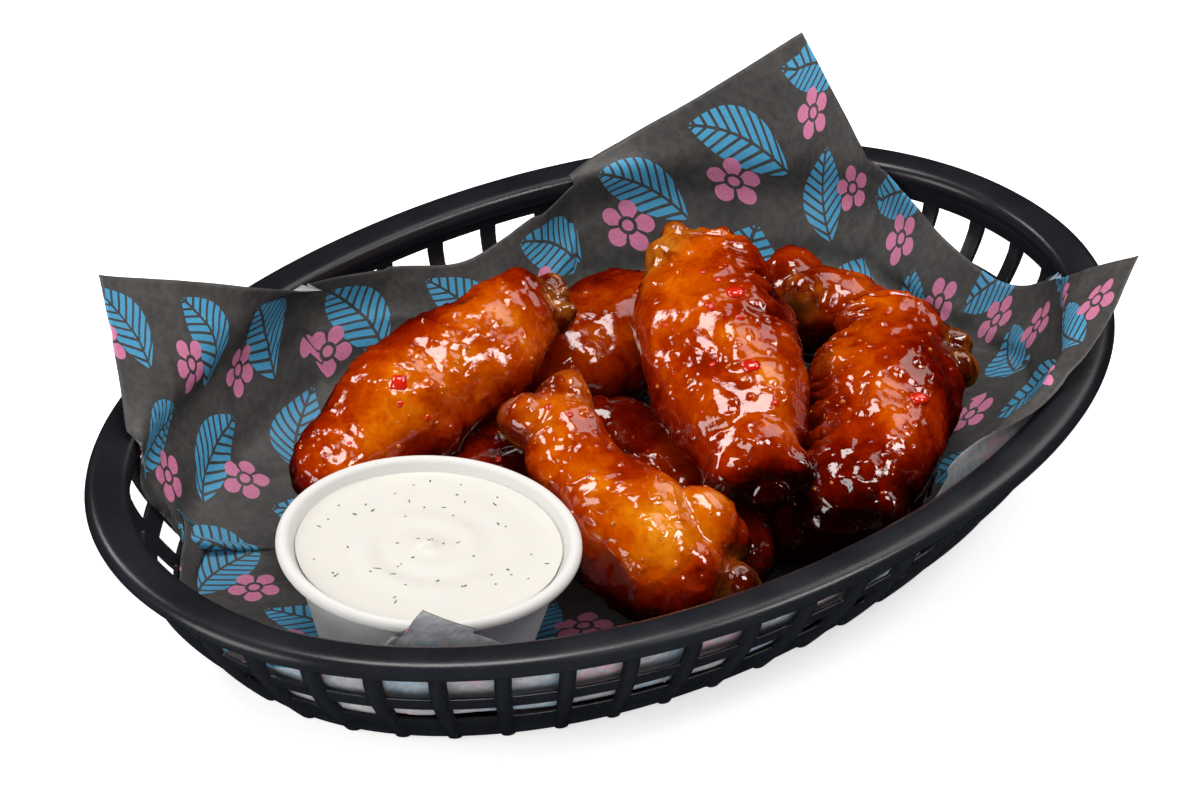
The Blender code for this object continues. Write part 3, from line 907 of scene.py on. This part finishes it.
def paper_strip(edge, flat, count):
    """One strip of the sheet, from the middle of the floor out and up the wall to its edge. It
    leaves the middle as it lies on the flat sheet, and has turned to its edge at the wall."""
    end_angle = oval_angle(edge)
    start_angle = oval_angle(flat)
    swing = (end_angle - start_angle + math.pi) % (2 * math.pi) - math.pi

    def along(share, insets, height):
        angle = start_angle + swing * min(1.0, share) ** 1.3
        return oval_points(np.array([angle]), insets, height)[0]

    foot = wall_insets(PAPER_FOOT) + PAPER_GAP
    path = [np.array((0, 0, PAPER_FOOT))]
    path += [along(share, foot, PAPER_FOOT + lift) * (share, share, 1)
             for share, lift in ((0.2, 0), (0.45, 0), (0.78, 0.7))]
    rise = edge[2] - PAPER_FOOT
    tall = edge[2] > LIP_HEIGHT
    top = LIP_HEIGHT if tall else PAPER_FOOT + 0.999 * rise
    for share in (0.2, 0.45, 0.72, 1.0):
        height = PAPER_FOOT + share * (top - PAPER_FOOT)
        insets = wall_insets(height) + PAPER_GAP
        if height > 30:
            insets = np.maximum(insets, LIP_INSET)
        path.append(along(1.0, insets, height))
    if tall:
        path.append((path[-1] + edge) / 2 + np.array((0, 0, 0.03 * (edge[2] - LIP_HEIGHT))))
        path.append(np.asarray(edge, float))
    return even_path(smooth_path(np.array(path), 400), count)


def sheet_border(count):
    """The sheet's edge in space and on the flat sheet, side by side."""
    flat_corners = np.array(((-1, 1), (1, 1), (1, -1), (-1, -1), (-1, 1)), float)
    space, flat = [], []
    for side, points in enumerate(PAPER_SIDES):
        even = even_path(smooth_path(points, 300), count + 1)
        share = np.linspace(0, 1, count + 1)[:, None]
        start, end = flat_corners[side], flat_corners[side + 1]
        space.append(even[:-1])
        flat.append((start + (end - start) * share)[:-1])
    return np.concatenate(space), np.concatenate(flat)


def inside_wall(grid):
    """Pull points of the sheet in where they would stand in the basket's wall or rim."""
    x, y, z = (grid[..., axis] for axis in range(3))
    angles = np.arctan2(np.copysign(np.abs(y / HALF_WIDTH) ** (OVAL_POWER / 2), y),
                        np.copysign(np.abs(x / HALF_LENGTH) ** (OVAL_POWER / 2), x))
    insets = wall_insets(np.minimum(z, WALL_TOP)) + PAPER_CLEARANCE
    insets = np.maximum(np.where(z > WALL_TOP + 2, 0.0, insets), np.interp(z, *UNDER_RIM))
    limit = oval_points(angles, insets, z)
    reach = np.hypot(x, y)
    furthest = np.hypot(limit[..., 0], limit[..., 1])
    out = (reach > furthest) & (z < UNDER_RIM[0][-1])
    share = np.where(out, furthest / np.maximum(reach, 1e-6), 1.0)
    return np.stack((x * share, y * share, z), axis=-1)


class SERVING_OT_paper(bpy.types.Operator):
    """Fold the printed sheet of paper into the basket"""
    bl_idname = "serving.make_paper"
    bl_label = "Fold the paper"

    def execute(self, context):
        settings = context.scene.serving_paper
        rings, per_side = 110, 104
        border, flat = sheet_border(per_side)
        half = np.array((settings.length / MM / 2, settings.width / MM / 2))
        strips = [paper_strip(edge, start, rings) for edge, start in zip(border, flat * half)]
        grid = np.stack(strips, axis=1)
        share = np.linspace(0, 1, rings)[:, None, None]
        sheet = share * (flat * half)[None]
        grid = self.crease(grid, sheet, settings.crumple / MM)
        columns = len(border)
        face_side = greaseproof_paper("greaseproof_paper_printed", settings.face, settings.leaf,
                                      settings.blossom, 1.0, 0.5)
        reverse = greaseproof_paper("greaseproof_paper_reverse", settings.reverse,
                                    settings.leaf, settings.blossom, 0.3, 0.62)
        faces = grid_faces(rings - 1, columns, start=1)
        faces += [(0, 1 + column, 1 + (column + 1) % columns) for column in range(columns)]
        points = np.concatenate((grid[0, :1], grid[1:].reshape(-1, 3)))
        flat_points = np.concatenate((sheet[0, :1], sheet[1:].reshape(-1, 2)))
        liner = add_mesh("liner_sheet", points, faces, [face_side, reverse])
        layer = liner.data.uv_layers.new(name="sheet")
        loops = np.zeros(len(liner.data.loops), int)
        liner.data.loops.foreach_get("vertex_index", loops)
        layer.data.foreach_set("uv", (flat_points[loops] / MAP_UNIT).ravel())
        solid = liner.modifiers.new("paper", "SOLIDIFY")
        solid.thickness = settings.thickness
        solid.offset = -1.0
        solid.material_offset = 1
        bake(liner)
        settle(liner, "liner_paper", "liner")
        return {"FINISHED"}

    def crease(self, grid, sheet, height):
        """Push the sheet in and out along soft creases, least where it lies on the floor."""
        shape = grid.shape
        along = np.gradient(grid, axis=0)
        across = np.roll(grid, -1, axis=1) - np.roll(grid, 1, axis=1)
        normal = np.cross(along, across)
        normal /= np.maximum(np.linalg.norm(normal, axis=2, keepdims=True), 1e-9)
        flat = np.concatenate((sheet, np.zeros(sheet.shape[:2] + (1,))), axis=2).reshape(-1, 3)
        soft = layered_noise(flat, WAVE_SIZE, 2, 3.1)
        fold = 1 - 2 * np.abs(value_noise(flat, FOLD_SIZE, 9.7))
        fine = 1 - 2 * np.abs(value_noise(flat, CREASE_SIZE, 1.9))
        push = np.maximum(height * (0.9 * soft + 0.55 * fold ** 3 + 0.22 * fine), DEEPEST)
        share = np.linspace(0, 1, shape[0])[:, None]
        weight = np.clip((share - 0.25) / 0.35, 0.05, 1.0)
        push = push.reshape(shape[:2]) * weight
        # The printed side looks up where the sheet lies on the floor.
        inward = normal * np.sign(normal[shape[0] // 4, :, 2].mean())
        return inside_wall(grid + inward * (push[..., None] + 0.5 * height))


# ---------------------------------------------------------------- pot and dip


def pot_radius(settings, height):
    """The pot's outer radius, wider towards its top."""
    rise = (height - POT_BASE) / (POT_TOP - POT_BASE)
    base = settings.base_radius / MM
    top = (settings.rim_radius - 2 * settings.bead) / MM
    return base + (top - base) * rise


def turned(name, profile, steps, materials, uv_name=None):
    """A turned piece: the profile runs from the axis and back to it."""
    profile = np.asarray(profile, float)
    angles = np.linspace(0, 2 * math.pi, steps, endpoint=False)
    inner = profile[1:-1]
    points = [(POT_PLACE[0], POT_PLACE[1], profile[0][1])]
    for radius, height in inner:
        for angle in angles:
            points.append((POT_PLACE[0] + radius * math.cos(angle),
                           POT_PLACE[1] + radius * math.sin(angle), height))
    points.append((POT_PLACE[0], POT_PLACE[1], profile[-1][1]))
    piece = add_mesh(name, points, closed_faces(len(inner), steps, flip=True), materials)
    if uv_name:
        layer = piece.data.uv_layers.new(name=uv_name)
        around = 2 * math.pi * np.mean([radius for radius, _ in inner])
        # A whole number of embossed diamonds goes round, so that the map's ends meet.
        around = round(around / EMBOSS_PITCH) * EMBOSS_PITCH
        for polygon in piece.data.polygons:
            for loop in polygon.loop_indices:
                point = piece.data.vertices[piece.data.loops[loop].vertex_index].co / MM
                angle = math.atan2(point[1] - POT_PLACE[1], point[0] - POT_PLACE[0])
                centre = polygon.center / MM
                middle = math.atan2(centre[1] - POT_PLACE[1], centre[0] - POT_PLACE[0])
                if angle - middle > math.pi:
                    angle -= 2 * math.pi
                if middle - angle > math.pi:
                    angle += 2 * math.pi
                wrapped = angle / (2 * math.pi) * around
                layer.data[loop].uv = (wrapped / MAP_UNIT, point[2] / MAP_UNIT)
    return piece


class SERVING_OT_pot(bpy.types.Operator):
    """Roll the white paper pot"""
    bl_idname = "serving.make_pot"
    bl_label = "Roll the pot"

    def execute(self, context):
        settings = context.scene.serving_pot
        card = pulp_paper_embossed()
        bead = settings.bead / MM
        floor = POT_BASE + POT_FOOT

        def radius(height):
            return pot_radius(settings, height)

        profile = [(0.0, floor + POT_WALL), (radius(floor) - POT_WALL - 0.5, floor + POT_WALL),
                   (radius(floor) - POT_WALL, floor + POT_WALL + 0.5)]
        profile += [(radius(height) - POT_WALL, height)
                    for height in np.linspace(10, POT_TOP - 3, 6)]
        # The rolled rim, from inside the wall over its crown and back to the wall.
        middle = (radius(POT_TOP) - POT_WALL + bead + 0.5, POT_TOP - bead)
        for step in range(15):
            angle = math.radians(176 - step * 18)
            profile.append((middle[0] + bead * math.cos(angle),
                            middle[1] + bead * math.sin(angle)))
        profile += [(radius(height), height)
                    for height in np.linspace(POT_TOP - 2 * bead - 0.4, POT_BASE + 0.4, 8)]
        profile += [(radius(POT_BASE) - 0.3, POT_BASE), (radius(POT_BASE) - 1.3, POT_BASE),
                    (radius(floor) - 2 * POT_WALL, floor), (0.0, floor)]
        pot = turned("pot_cup", profile, 176, [card], "wrap")
        smooth_by_angle(pot, 60.0)
        settle(pot, "pot_card", "pot")
        return {"FINISHED"}


def dip_height(x, y, reach, peak):
    """Height of the dip's stirred top over its level, at places from the pot's axis."""
    radius = np.hypot(x, y)
    angle = np.arctan2(y, x)
    ring = np.exp(-((radius - SWIRL_RADIUS) / SWIRL_SPREAD) ** 2)
    swirl = SWIRL_HEIGHT * np.cos(SWIRL_WINDING * radius - angle) * ring
    top = peak * np.exp(-((radius / 2.1) ** 2)) + 0.45 * np.exp(-((radius / 5.5) ** 2))
    points = np.stack((x, y, 0 * x), axis=-1).reshape(-1, 3)
    soft = 0.16 * value_noise(points, 9.0, 2.2).reshape(radius.shape)
    meniscus = 0.5 * np.exp(-(reach - radius) / 0.7)
    return swirl + top + soft + meniscus


class SERVING_OT_dip(bpy.types.Operator):
    """Fill the pot with dip and scatter dried herbs in it"""
    bl_idname = "serving.make_dip"
    bl_label = "Fill the pot"

    def execute(self, context):
        settings = context.scene.serving_pot
        cream = sour_cream_dip(settings.dip_colour)
        reach = pot_radius(settings, DIP_LEVEL) - DIP_EDGE
        steps, rings = 150, 90
        angles = np.linspace(0, 2 * math.pi, steps, endpoint=False)
        radii = np.linspace(0, reach, rings)[1:]
        x = radii[:, None] * np.cos(angles)
        y = radii[:, None] * np.sin(angles)
        peak = settings.peak / MM
        z = DIP_LEVEL + dip_height(x, y, reach, peak)
        top = np.stack((x + POT_PLACE[0], y + POT_PLACE[1], z), axis=-1).reshape(-1, 3)
        low = POT_BASE + POT_FOOT + 1.0
        side = []
        for height in (DIP_LEVEL - 1.5, low):
            radius = pot_radius(settings, height) - DIP_SIDE
            side.append(np.stack((radius * np.cos(angles) + POT_PLACE[0],
                                  radius * np.sin(angles) + POT_PLACE[1],
                                  np.full(steps, height)), axis=-1))
        first = (POT_PLACE[0], POT_PLACE[1],
                 DIP_LEVEL + dip_height(np.zeros(1), np.zeros(1), reach, peak)[0])
        last = (POT_PLACE[0], POT_PLACE[1], low)
        points = np.concatenate(([first], top, *side, [last]))
        faces = closed_faces(len(radii) + len(side), steps, flip=True)
        dip = add_mesh("dip_fill", points, faces, [cream])
        settle(dip, "dip", "dip")
        herbs = self.herbs(settings, reach, peak)
        settle(herbs, "dip")
        return {"FINISHED"}

    def herbs(self, settings, reach, peak):
        """Thin uneven flecks that lie in the dip's top."""
        random = np.random.default_rng(5)
        points, faces = [], []
        for _ in range(settings.herbs):
            radius = reach * 0.93 * math.sqrt(random.random())
            around = random.random() * 2 * math.pi
            x, y = radius * math.cos(around), radius * math.sin(around)
            z = DIP_LEVEL + dip_height(np.array([x]), np.array([y]), reach, peak)[0] + 0.02
            long = random.choice(HERB_LENGTHS, p=HERB_SHARES)
            wide = 0.13 + 0.14 * random.random()
            turn = random.random() * math.pi
            start = len(points)
            outline = []
            for step in range(HERB_SIDES):
                angle = step * 2 * math.pi / HERB_SIDES
                rough = 0.75 + 0.5 * random.random()
                outline.append((long * rough * math.cos(angle), wide * rough * math.sin(angle)))
            for height in (0.05, -0.1):
                for a, b in outline:
                    points.append((POT_PLACE[0] + x + a * math.cos(turn) - b * math.sin(turn),
                                   POT_PLACE[1] + y + a * math.sin(turn) + b * math.cos(turn),
                                   z + height))
            under = start + HERB_SIDES
            faces.append(tuple(range(start, under)))
            faces.append(tuple(range(under + HERB_SIDES - 1, under - 1, -1)))
            for step in range(HERB_SIDES):
                after = (step + 1) % HERB_SIDES
                faces.append((start + after, start + step, under + step, under + after))
        return add_mesh("dip_herbs", points, faces, [dried_herb()], False)


# ---------------------------------------------------------------- wings


def wing_length(wing):
    """Length of a wing between its ends."""
    return (Vector(wing.end) - Vector(wing.start)).length


def wing_shift(name):
    """Where a wing reads the noise, so that no two wings are alike."""
    return (sum(map(ord, name)) % 29) * 1.37


def wing_axes(wing):
    """Middle and turned axes of a wing that lies between two ends."""
    start, end = Vector(wing.start), Vector(wing.end)
    along = (end - start).normalized()
    across = Vector((0, 0, 1)).cross(along).normalized()
    across = Matrix.Rotation(math.radians(wing.roll), 3, along) @ across
    up = along.cross(across)
    return np.array((start + end) / 2), np.array((along, across, up))


def station_shares(stations, t):
    """Width and thickness shares at places along a cut, eased between its stations."""
    stations = np.array(stations)
    index = np.clip(np.searchsorted(stations[:, 0], t) - 1, 0, len(stations) - 2)
    low, high = stations[index], stations[index + 1]
    ease = 0.5 - 0.5 * np.cos(math.pi * (t - low[:, 0]) / (high[:, 0] - low[:, 0]))
    return (low[:, 1] + (high[:, 1] - low[:, 1]) * ease,
            low[:, 2] + (high[:, 2] - low[:, 2]) * ease)


def main_form(wing, rows=60, columns=56):
    """The wing's smooth main form in its own axes: points and faces."""
    length = wing_length(wing)
    t = np.linspace(0.0, 1.0, rows + 2)[1:-1]
    turn = np.linspace(0, 2 * math.pi, columns, endpoint=False)
    wide, thick = station_shares(CUTS[wing.cut], t)
    full = np.sin(math.pi * t) ** 0.62
    x = np.repeat((-np.cos(math.pi * t) * length / 2)[:, None], columns, axis=1)
    sway = wing.bend * (1 - (2 * t - 1) ** 2)
    y = np.cos(turn) * (full * wide)[:, None] * wing.width / 2 + sway[:, None]
    z = np.sin(turn) * (full * thick)[:, None] * wing.thickness / 2
    ends = ((-length / 2, 0, 0), (length / 2, 0, 0))
    points = np.concatenate((ends[:1], np.stack((x, y, z), axis=-1).reshape(-1, 3), ends[1:]))
    return points, closed_faces(rows, columns)


def fused_form(name, wing, voxel):
    """The main form and its lobes melted into one skin, in the wing's own axes."""
    points, faces = main_form(wing)
    form = add_mesh(name + "_form", points, faces, [])
    bm = bmesh.new()
    bm.from_mesh(form.data)
    for *place, rx, ry, rz, _ in LOBES.get(name, ()):
        size = Matrix.Diagonal((rx * MM, ry * MM, rz * MM, 1.0))
        bmesh.ops.create_icosphere(bm, subdivisions=4, radius=1.0,
                                   matrix=Matrix.Translation(Vector(place) * MM) @ size)
    bm.to_mesh(form.data)
    bm.free()
    melt = form.modifiers.new("melt", "REMESH")
    melt.mode = "VOXEL"
    melt.voxel_size = voxel * MM
    settle_down = form.modifiers.new("smooth", "SMOOTH")
    settle_down.factor = 0.6
    settle_down.iterations = round(15 / voxel)
    bake(form)
    return form


def vertex_arrays(mesh):
    """A mesh's points in millimetres and its normals."""
    points = np.zeros(len(mesh.vertices) * 3)
    mesh.vertices.foreach_get("co", points)
    normals = np.zeros(len(mesh.vertices) * 3)
    mesh.vertex_normals.foreach_get("vector", normals)
    return points.reshape(-1, 3) / MM, normals.reshape(-1, 3)


def skin_relief(name, wing, points, settings):
    """Height of the skin over the smooth form, its ends, its lumps and its folds' hollows."""
    t = np.arccos(np.clip(-points[:, 0] * 2 / wing_length(wing), -1, 1)) / math.pi
    around = np.degrees(np.arctan2(points[:, 2], points[:, 1]))
    shift = wing_shift(name)
    lumps = layered_noise(points, LUMP_SIZE, 2, shift)
    ends = np.clip(np.abs(2 * t - 1) * 2.4 - 1.4, 0, 1)
    sway = points + 0.9 * np.stack([value_noise(points, 6.0, shift + k) for k in (31, 37, 41)], 1)
    across = 1 - 2 * np.abs(value_noise(sway * WRINKLES_PER_MM, 1.0, shift + 3))
    crinkle = 1 - 2 * np.abs(value_noise(sway, CRINKLE_SIZE, shift + 7))
    folds = np.zeros(len(points))
    for place, angle, spread, arc, height in FOLDS.get(name, ()):
        away = (around - angle + 180) % 360 - 180
        folds += height * np.exp(-((t - place) / spread) ** 2 - (away / arc) ** 2)
    region = np.clip(0.35 + 1.3 * value_noise(points, 12.0, shift + 13), 0, 1)
    streaks = value_noise(sway * STREAKS_PER_MM, 1.0, shift + 19)
    ripple = streaks + 0.35 * value_noise(sway, RIPPLE_SIZE, shift + 17)
    drops = np.clip(value_noise(points, DROP_SIZE, shift + 43) - 0.42, 0, 1)
    relief = (settings.lumps / MM * lumps + folds * (across - 0.4)
              + settings.wrinkles / MM * crinkle * (0.25 * region + 0.75 * ends)
              + settings.pimples / MM * ripple * (0.6 + 0.8 * region) + 1.1 * drops)
    return relief, ends, lumps, folds * np.clip(-across, 0, 1)


def bareness(name, points):
    """How bare of skin each point is, most on a bone end."""
    bare = np.zeros(len(points))
    for *place, rx, ry, rz, share in LOBES.get(name, ()):
        away = np.linalg.norm((points - place) / (rx, ry, rz), axis=1)
        bare = np.maximum(bare, share * np.clip(2.2 - 1.2 * away, 0, 1))
    return bare


def roast_and_shade_level(name, points, upward, height, ends, lumps, hollows):
    """How light each point is drawn: dark at the roasted ends, with painted shade on the flanks,
    the undersides, low down and in the fold hollows.
    """
    roast_and_shade = 0.46 + 0.18 * layered_noise(points, 15.0, 3, wing_shift(name) + 23) + 0.06 * lumps
    # Painted shade and light: the flanks and the undersides are drawn darker and the tops lighter,
    # as light falls from above.
    flank = np.clip(np.abs(points[:, 1]) / (0.5 * WINGS[name].width) * 1.8 - 0.8, 0, 1)
    roast_and_shade += 0.3 * np.clip(upward, -1, 0.6) - 0.26 * ends - 0.2 * flank
    place, spread, depth = CHARRED.get(name, (0, 1, 0))
    roast_and_shade -= depth * np.exp(-((points[:, 0] - place) / spread) ** 2)
    # The fold hollows are darker for the pooled glaze and for painted shade.
    roast_and_shade -= 0.35 * np.clip(hollows, 0, 0.6)
    roast_and_shade += ROAST_AND_SHADE.get(name, 0.0)
    # Painted shade: the lower a point lies in the basket, the darker it is drawn.
    return roast_and_shade * (0.25 + 0.75 * np.clip((height - 8.0) / 22.0, 0, 1))


class SERVING_OT_wings(bpy.types.Operator):
    """Shape and glaze every wing"""
    bl_idname = "serving.make_wings"
    bl_label = "Glaze the wings"

    def execute(self, context):
        settings = context.scene.serving_wings
        skin = roasted_skin_glazed()
        for name, wing in WINGS.items():
            fine = settings.grain / MM * (1.0 if name in IN_VIEW else COARSER)
            form = fused_form(name, wing, fine)
            points, normals = vertex_arrays(form.data)
            relief, ends, lumps, hollows = skin_relief(name, wing, points, settings)
            bare = bareness(name, points)
            points = points + normals * relief[:, None]
            middle, axes = wing_axes(wing)
            world = middle + points @ axes
            upward = (normals @ axes)[:, 2]
            # This level holds the roast's own tones and the painted shade on the undersides, the
            # flanks, low down and in hollows.
            roast_and_shade = roast_and_shade_level(name, points, upward, world[:, 2], ends, lumps, hollows)
            mesh = form.data.copy()
            mesh.name = name + "_glazed"
            mesh.materials.clear()
            mesh.materials.append(skin)
            mesh.vertices.foreach_set("co", (world * MM).ravel())
            for label, values in (("roast_and_shade", roast_and_shade), ("bare", bare)):
                level = mesh.attributes.new(label, "FLOAT", "POINT")
                level.data.foreach_set("value", values.astype(np.float32))
            mesh.shade_smooth()
            piece = bpy.data.objects.new(name + "_glazed", mesh)
            context.scene.collection.objects.link(piece)
            bpy.data.objects.remove(form)
            settle(piece, "wing_glaze", name)
        return {"FINISHED"}


def surface_place(tree, middle, axes, along, across):
    """Where a line down a wing's own upright meets its skin, and the skin's normal there."""
    start = middle + np.array((along, across, 60.0)) @ axes
    place, normal, _, _ = tree.ray_cast(Vector(start * MM), Vector(-axes[2]))
    return place, normal


def pebble(random, place, normal, size, flat, points, faces):
    """Add one small uneven pebble that sits half sunk in a surface."""
    start = len(points)
    turn = normal.to_track_quat("Z", "Y").to_matrix()
    spin = random.random() * 2 * math.pi
    long = 0.75 + 0.5 * random.random()
    rings, steps = 4, 9
    outline = 0.8 + 0.4 * random.random(steps)
    points.append(place / MM - normal * size * flat * 0.3)
    for ring in range(rings):
        level = (ring + 0.5) / rings * math.pi
        for step in range(steps):
            angle = step * 2 * math.pi / steps
            radius = math.sin(level) * size / 2 * outline[step]
            local = Vector((radius * math.cos(angle) * long, radius * math.sin(angle) / long,
                            -math.cos(level) * size / 2 * flat))
            local.rotate(Matrix.Rotation(spin, 3, "Z"))
            points.append(place / MM + turn @ local)
    points.append(place / MM + normal * size * flat / 2)
    faces.extend(closed_faces(rings, steps, start=start))


class SERVING_OT_flakes(bpy.types.Operator):
    """Scatter chili flakes and beads of glaze over the wings"""
    bl_idname = "serving.make_flakes"
    bl_label = "Scatter the chili"

    def execute(self, context):
        settings = context.scene.serving_wings
        random = np.random.default_rng(23)
        trees = {}
        for name, wing in WINGS.items():
            bm = bmesh.new()
            bm.from_mesh(bpy.data.objects[name + "_glazed"].data)
            trees[name] = (BVHTree.FromBMesh(bm), *wing_axes(wing))
            bm.free()
        points, faces = [], []
        for name, along, across, size in LARGE_FLAKES:
            place, normal = surface_place(*trees[name], along, across)
            pebble(random, place, normal, size, 0.32, points, faces)
        self.scatter(random, trees, settings.flakes, (0.8, 2.0), 0.28, points, faces)
        flakes = add_mesh("chili_flakes", points, faces, [chili_flake()])
        settle(flakes, "wing_glaze")
        points, faces = [], []
        self.scatter(random, trees, settings.beads, (0.5, 1.5), 0.6, points, faces)
        beads = add_mesh("glaze_beads", points, faces, [honey_glaze()])
        settle(beads, "wing_glaze")
        return {"FINISHED"}

    def scatter(self, random, trees, count, sizes, flat, points, faces):
        """Spread pebbles at random over the wings' upper sides."""
        names = list(WINGS)
        shares = np.array(SCATTER_SHARES) / sum(SCATTER_SHARES)
        for _ in range(count):
            name = random.choice(names, p=shares)
            along = (random.random() - 0.5) * wing_length(WINGS[name]) * 0.92
            across = (random.random() - 0.5) * WINGS[name].width * 0.86
            size = sizes[0] + (sizes[1] - sizes[0]) * random.random() ** 2
            place, normal = surface_place(*trees[name], along, across)
            if place is not None:
                pebble(random, place, normal, size, flat, points, faces)


# ---------------------------------------------------------------- stage


def softbox(name, place, target, size, power, colour):
    """A rectangular area light aimed at a point."""
    light = bpy.data.lights.new(name, "AREA")
    light.shape = "RECTANGLE"
    light.size, light.size_y = size
    light.energy = power
    light.color = linear(colour)[:3]
    lamp = bpy.data.objects.new(name, light)
    lamp.location = place
    lamp.rotation_euler = (Vector(target) - Vector(place)).to_track_quat("-Z", "Y").to_euler()
    bpy.context.scene.collection.objects.link(lamp)
    return lamp


class SERVING_OT_stage(bpy.types.Operator):
    """Lay the floor, hang the softboxes and place the camera"""
    bl_idname = "serving.make_stage"
    bl_label = "Set the stage"

    def execute(self, context):
        settings = context.scene.serving_stage
        half = settings.floor_size / 2 / MM
        corners = [(-half, -half, 0), (half, -half, 0), (half, half, 0), (-half, half, 0)]
        board = studio_board(settings.floor_colour)
        floor = add_mesh("studio_floor", corners, [range(4)], [board], False)
        # The board leaves no reflection of its own in the glaze.
        floor.visible_glossy = False
        softbox("key_softbox", (0.10, 0.08, 0.92), MIDDLE, (0.37, 0.37),
                settings.key_power, "#fffaf8")
        softbox("back_softbox", (-0.20, 0.76, 0.60), MIDDLE, (0.26, 0.22),
                settings.back_power, "#fffaf8")
        softbox("side_softbox", (0.68, 0.06, 0.70), MIDDLE, (0.5, 0.44),
                settings.side_power, "#fff6f3")
        softbox("left_softbox", (-0.85, 0.12, 0.38), ABOVE_MIDDLE, (0.5, 0.4),
                settings.left_power, "#fffcf8")
        softbox("front_softbox", (0.41, -0.45, 0.73), MIDDLE, (0.24, 0.2),
                settings.front_power, "#fffaf8")
        # A wide veil at the front lifts the shadows and leaves no reflection of its own.
        veil = softbox("front_veil", (-0.62, -0.62, 0.72), ABOVE_MIDDLE, (1.1, 0.8),
                       settings.veil_power, "#ffffff")
        veil.visible_glossy = False
        # The paper is too dull to mirror in the glaze.
        bpy.data.objects["liner_sheet"].visible_glossy = False
        # A low strip light reaches the lattice and the paper alone.
        strip = softbox("low_strip", (-0.72, -0.72, 0.20), MIDDLE, (1.2, 0.3),
                        settings.strip_power, "#fbfcff")
        strip.visible_glossy = False
        lit = bpy.data.collections.new("lit_by_low_strip")
        strip.light_linking.receiver_collection = lit
        for name in ("basket_moulding", "liner_sheet"):
            lit.objects.link(bpy.data.objects[name])
        world = bpy.data.worlds.new("studio")
        world.use_nodes = True
        set_sockets(world.node_tree.nodes["Background"], Color=linear("#ffffff"), Strength=0.16)
        world.cycles_visibility.glossy = False
        context.scene.world = world
        context.scene.view_settings.view_transform = "Standard"
        data = bpy.data.cameras.new("camera")
        data.lens = settings.lens
        data.sensor_width = 36.0
        data.clip_start = 0.02
        camera = bpy.data.objects.new("camera", data)
        axes = Matrix(CAMERA_AXES).transposed().to_4x4()
        camera.matrix_world = Matrix.Translation(CAMERA_PLACE) @ axes
        context.scene.collection.objects.link(camera)
        context.scene.camera = camera
        return {"FINISHED"}


class SERVING_PT_panel(bpy.types.Panel):
    """Lists the steps that dress the serving"""
    bl_idname = "SERVING_PT_panel"
    bl_label = "Basket of wings"
    bl_space_type = "VIEW_3D"
    bl_region_type = "UI"
    bl_category = "Wings"

    def draw(self, context):
        for step in STEPS:
            self.layout.operator(step.bl_idname)


STEPS = (
    SERVING_OT_basket,
    SERVING_OT_paper,
    SERVING_OT_pot,
    SERVING_OT_dip,
    SERVING_OT_wings,
    SERVING_OT_flakes,
    SERVING_OT_stage,
)
SETTINGS = {
    "serving_basket": BasketSettings,
    "serving_paper": PaperSettings,
    "serving_pot": PotSettings,
    "serving_wings": WingSettings,
    "serving_stage": StageSettings,
}


def register():
    for kind in (*SETTINGS.values(), *STEPS, SERVING_PT_panel):
        bpy.utils.register_class(kind)
    for name, kind in SETTINGS.items():
        setattr(bpy.types.Scene, name, bpy.props.PointerProperty(type=kind))


def unregister():
    for name in SETTINGS:
        delattr(bpy.types.Scene, name)
    for kind in reversed((*SETTINGS.values(), *STEPS, SERVING_PT_panel)):
        bpy.utils.unregister_class(kind)


def main():
    register()
    bpy.ops.serving.make_basket()
    bpy.ops.serving.make_paper()
    bpy.ops.serving.make_pot()
    bpy.ops.serving.make_dip()
    bpy.ops.serving.make_wings()
    bpy.ops.serving.make_flakes()
    bpy.ops.serving.make_stage()


if __name__ == "__main__":
    main()
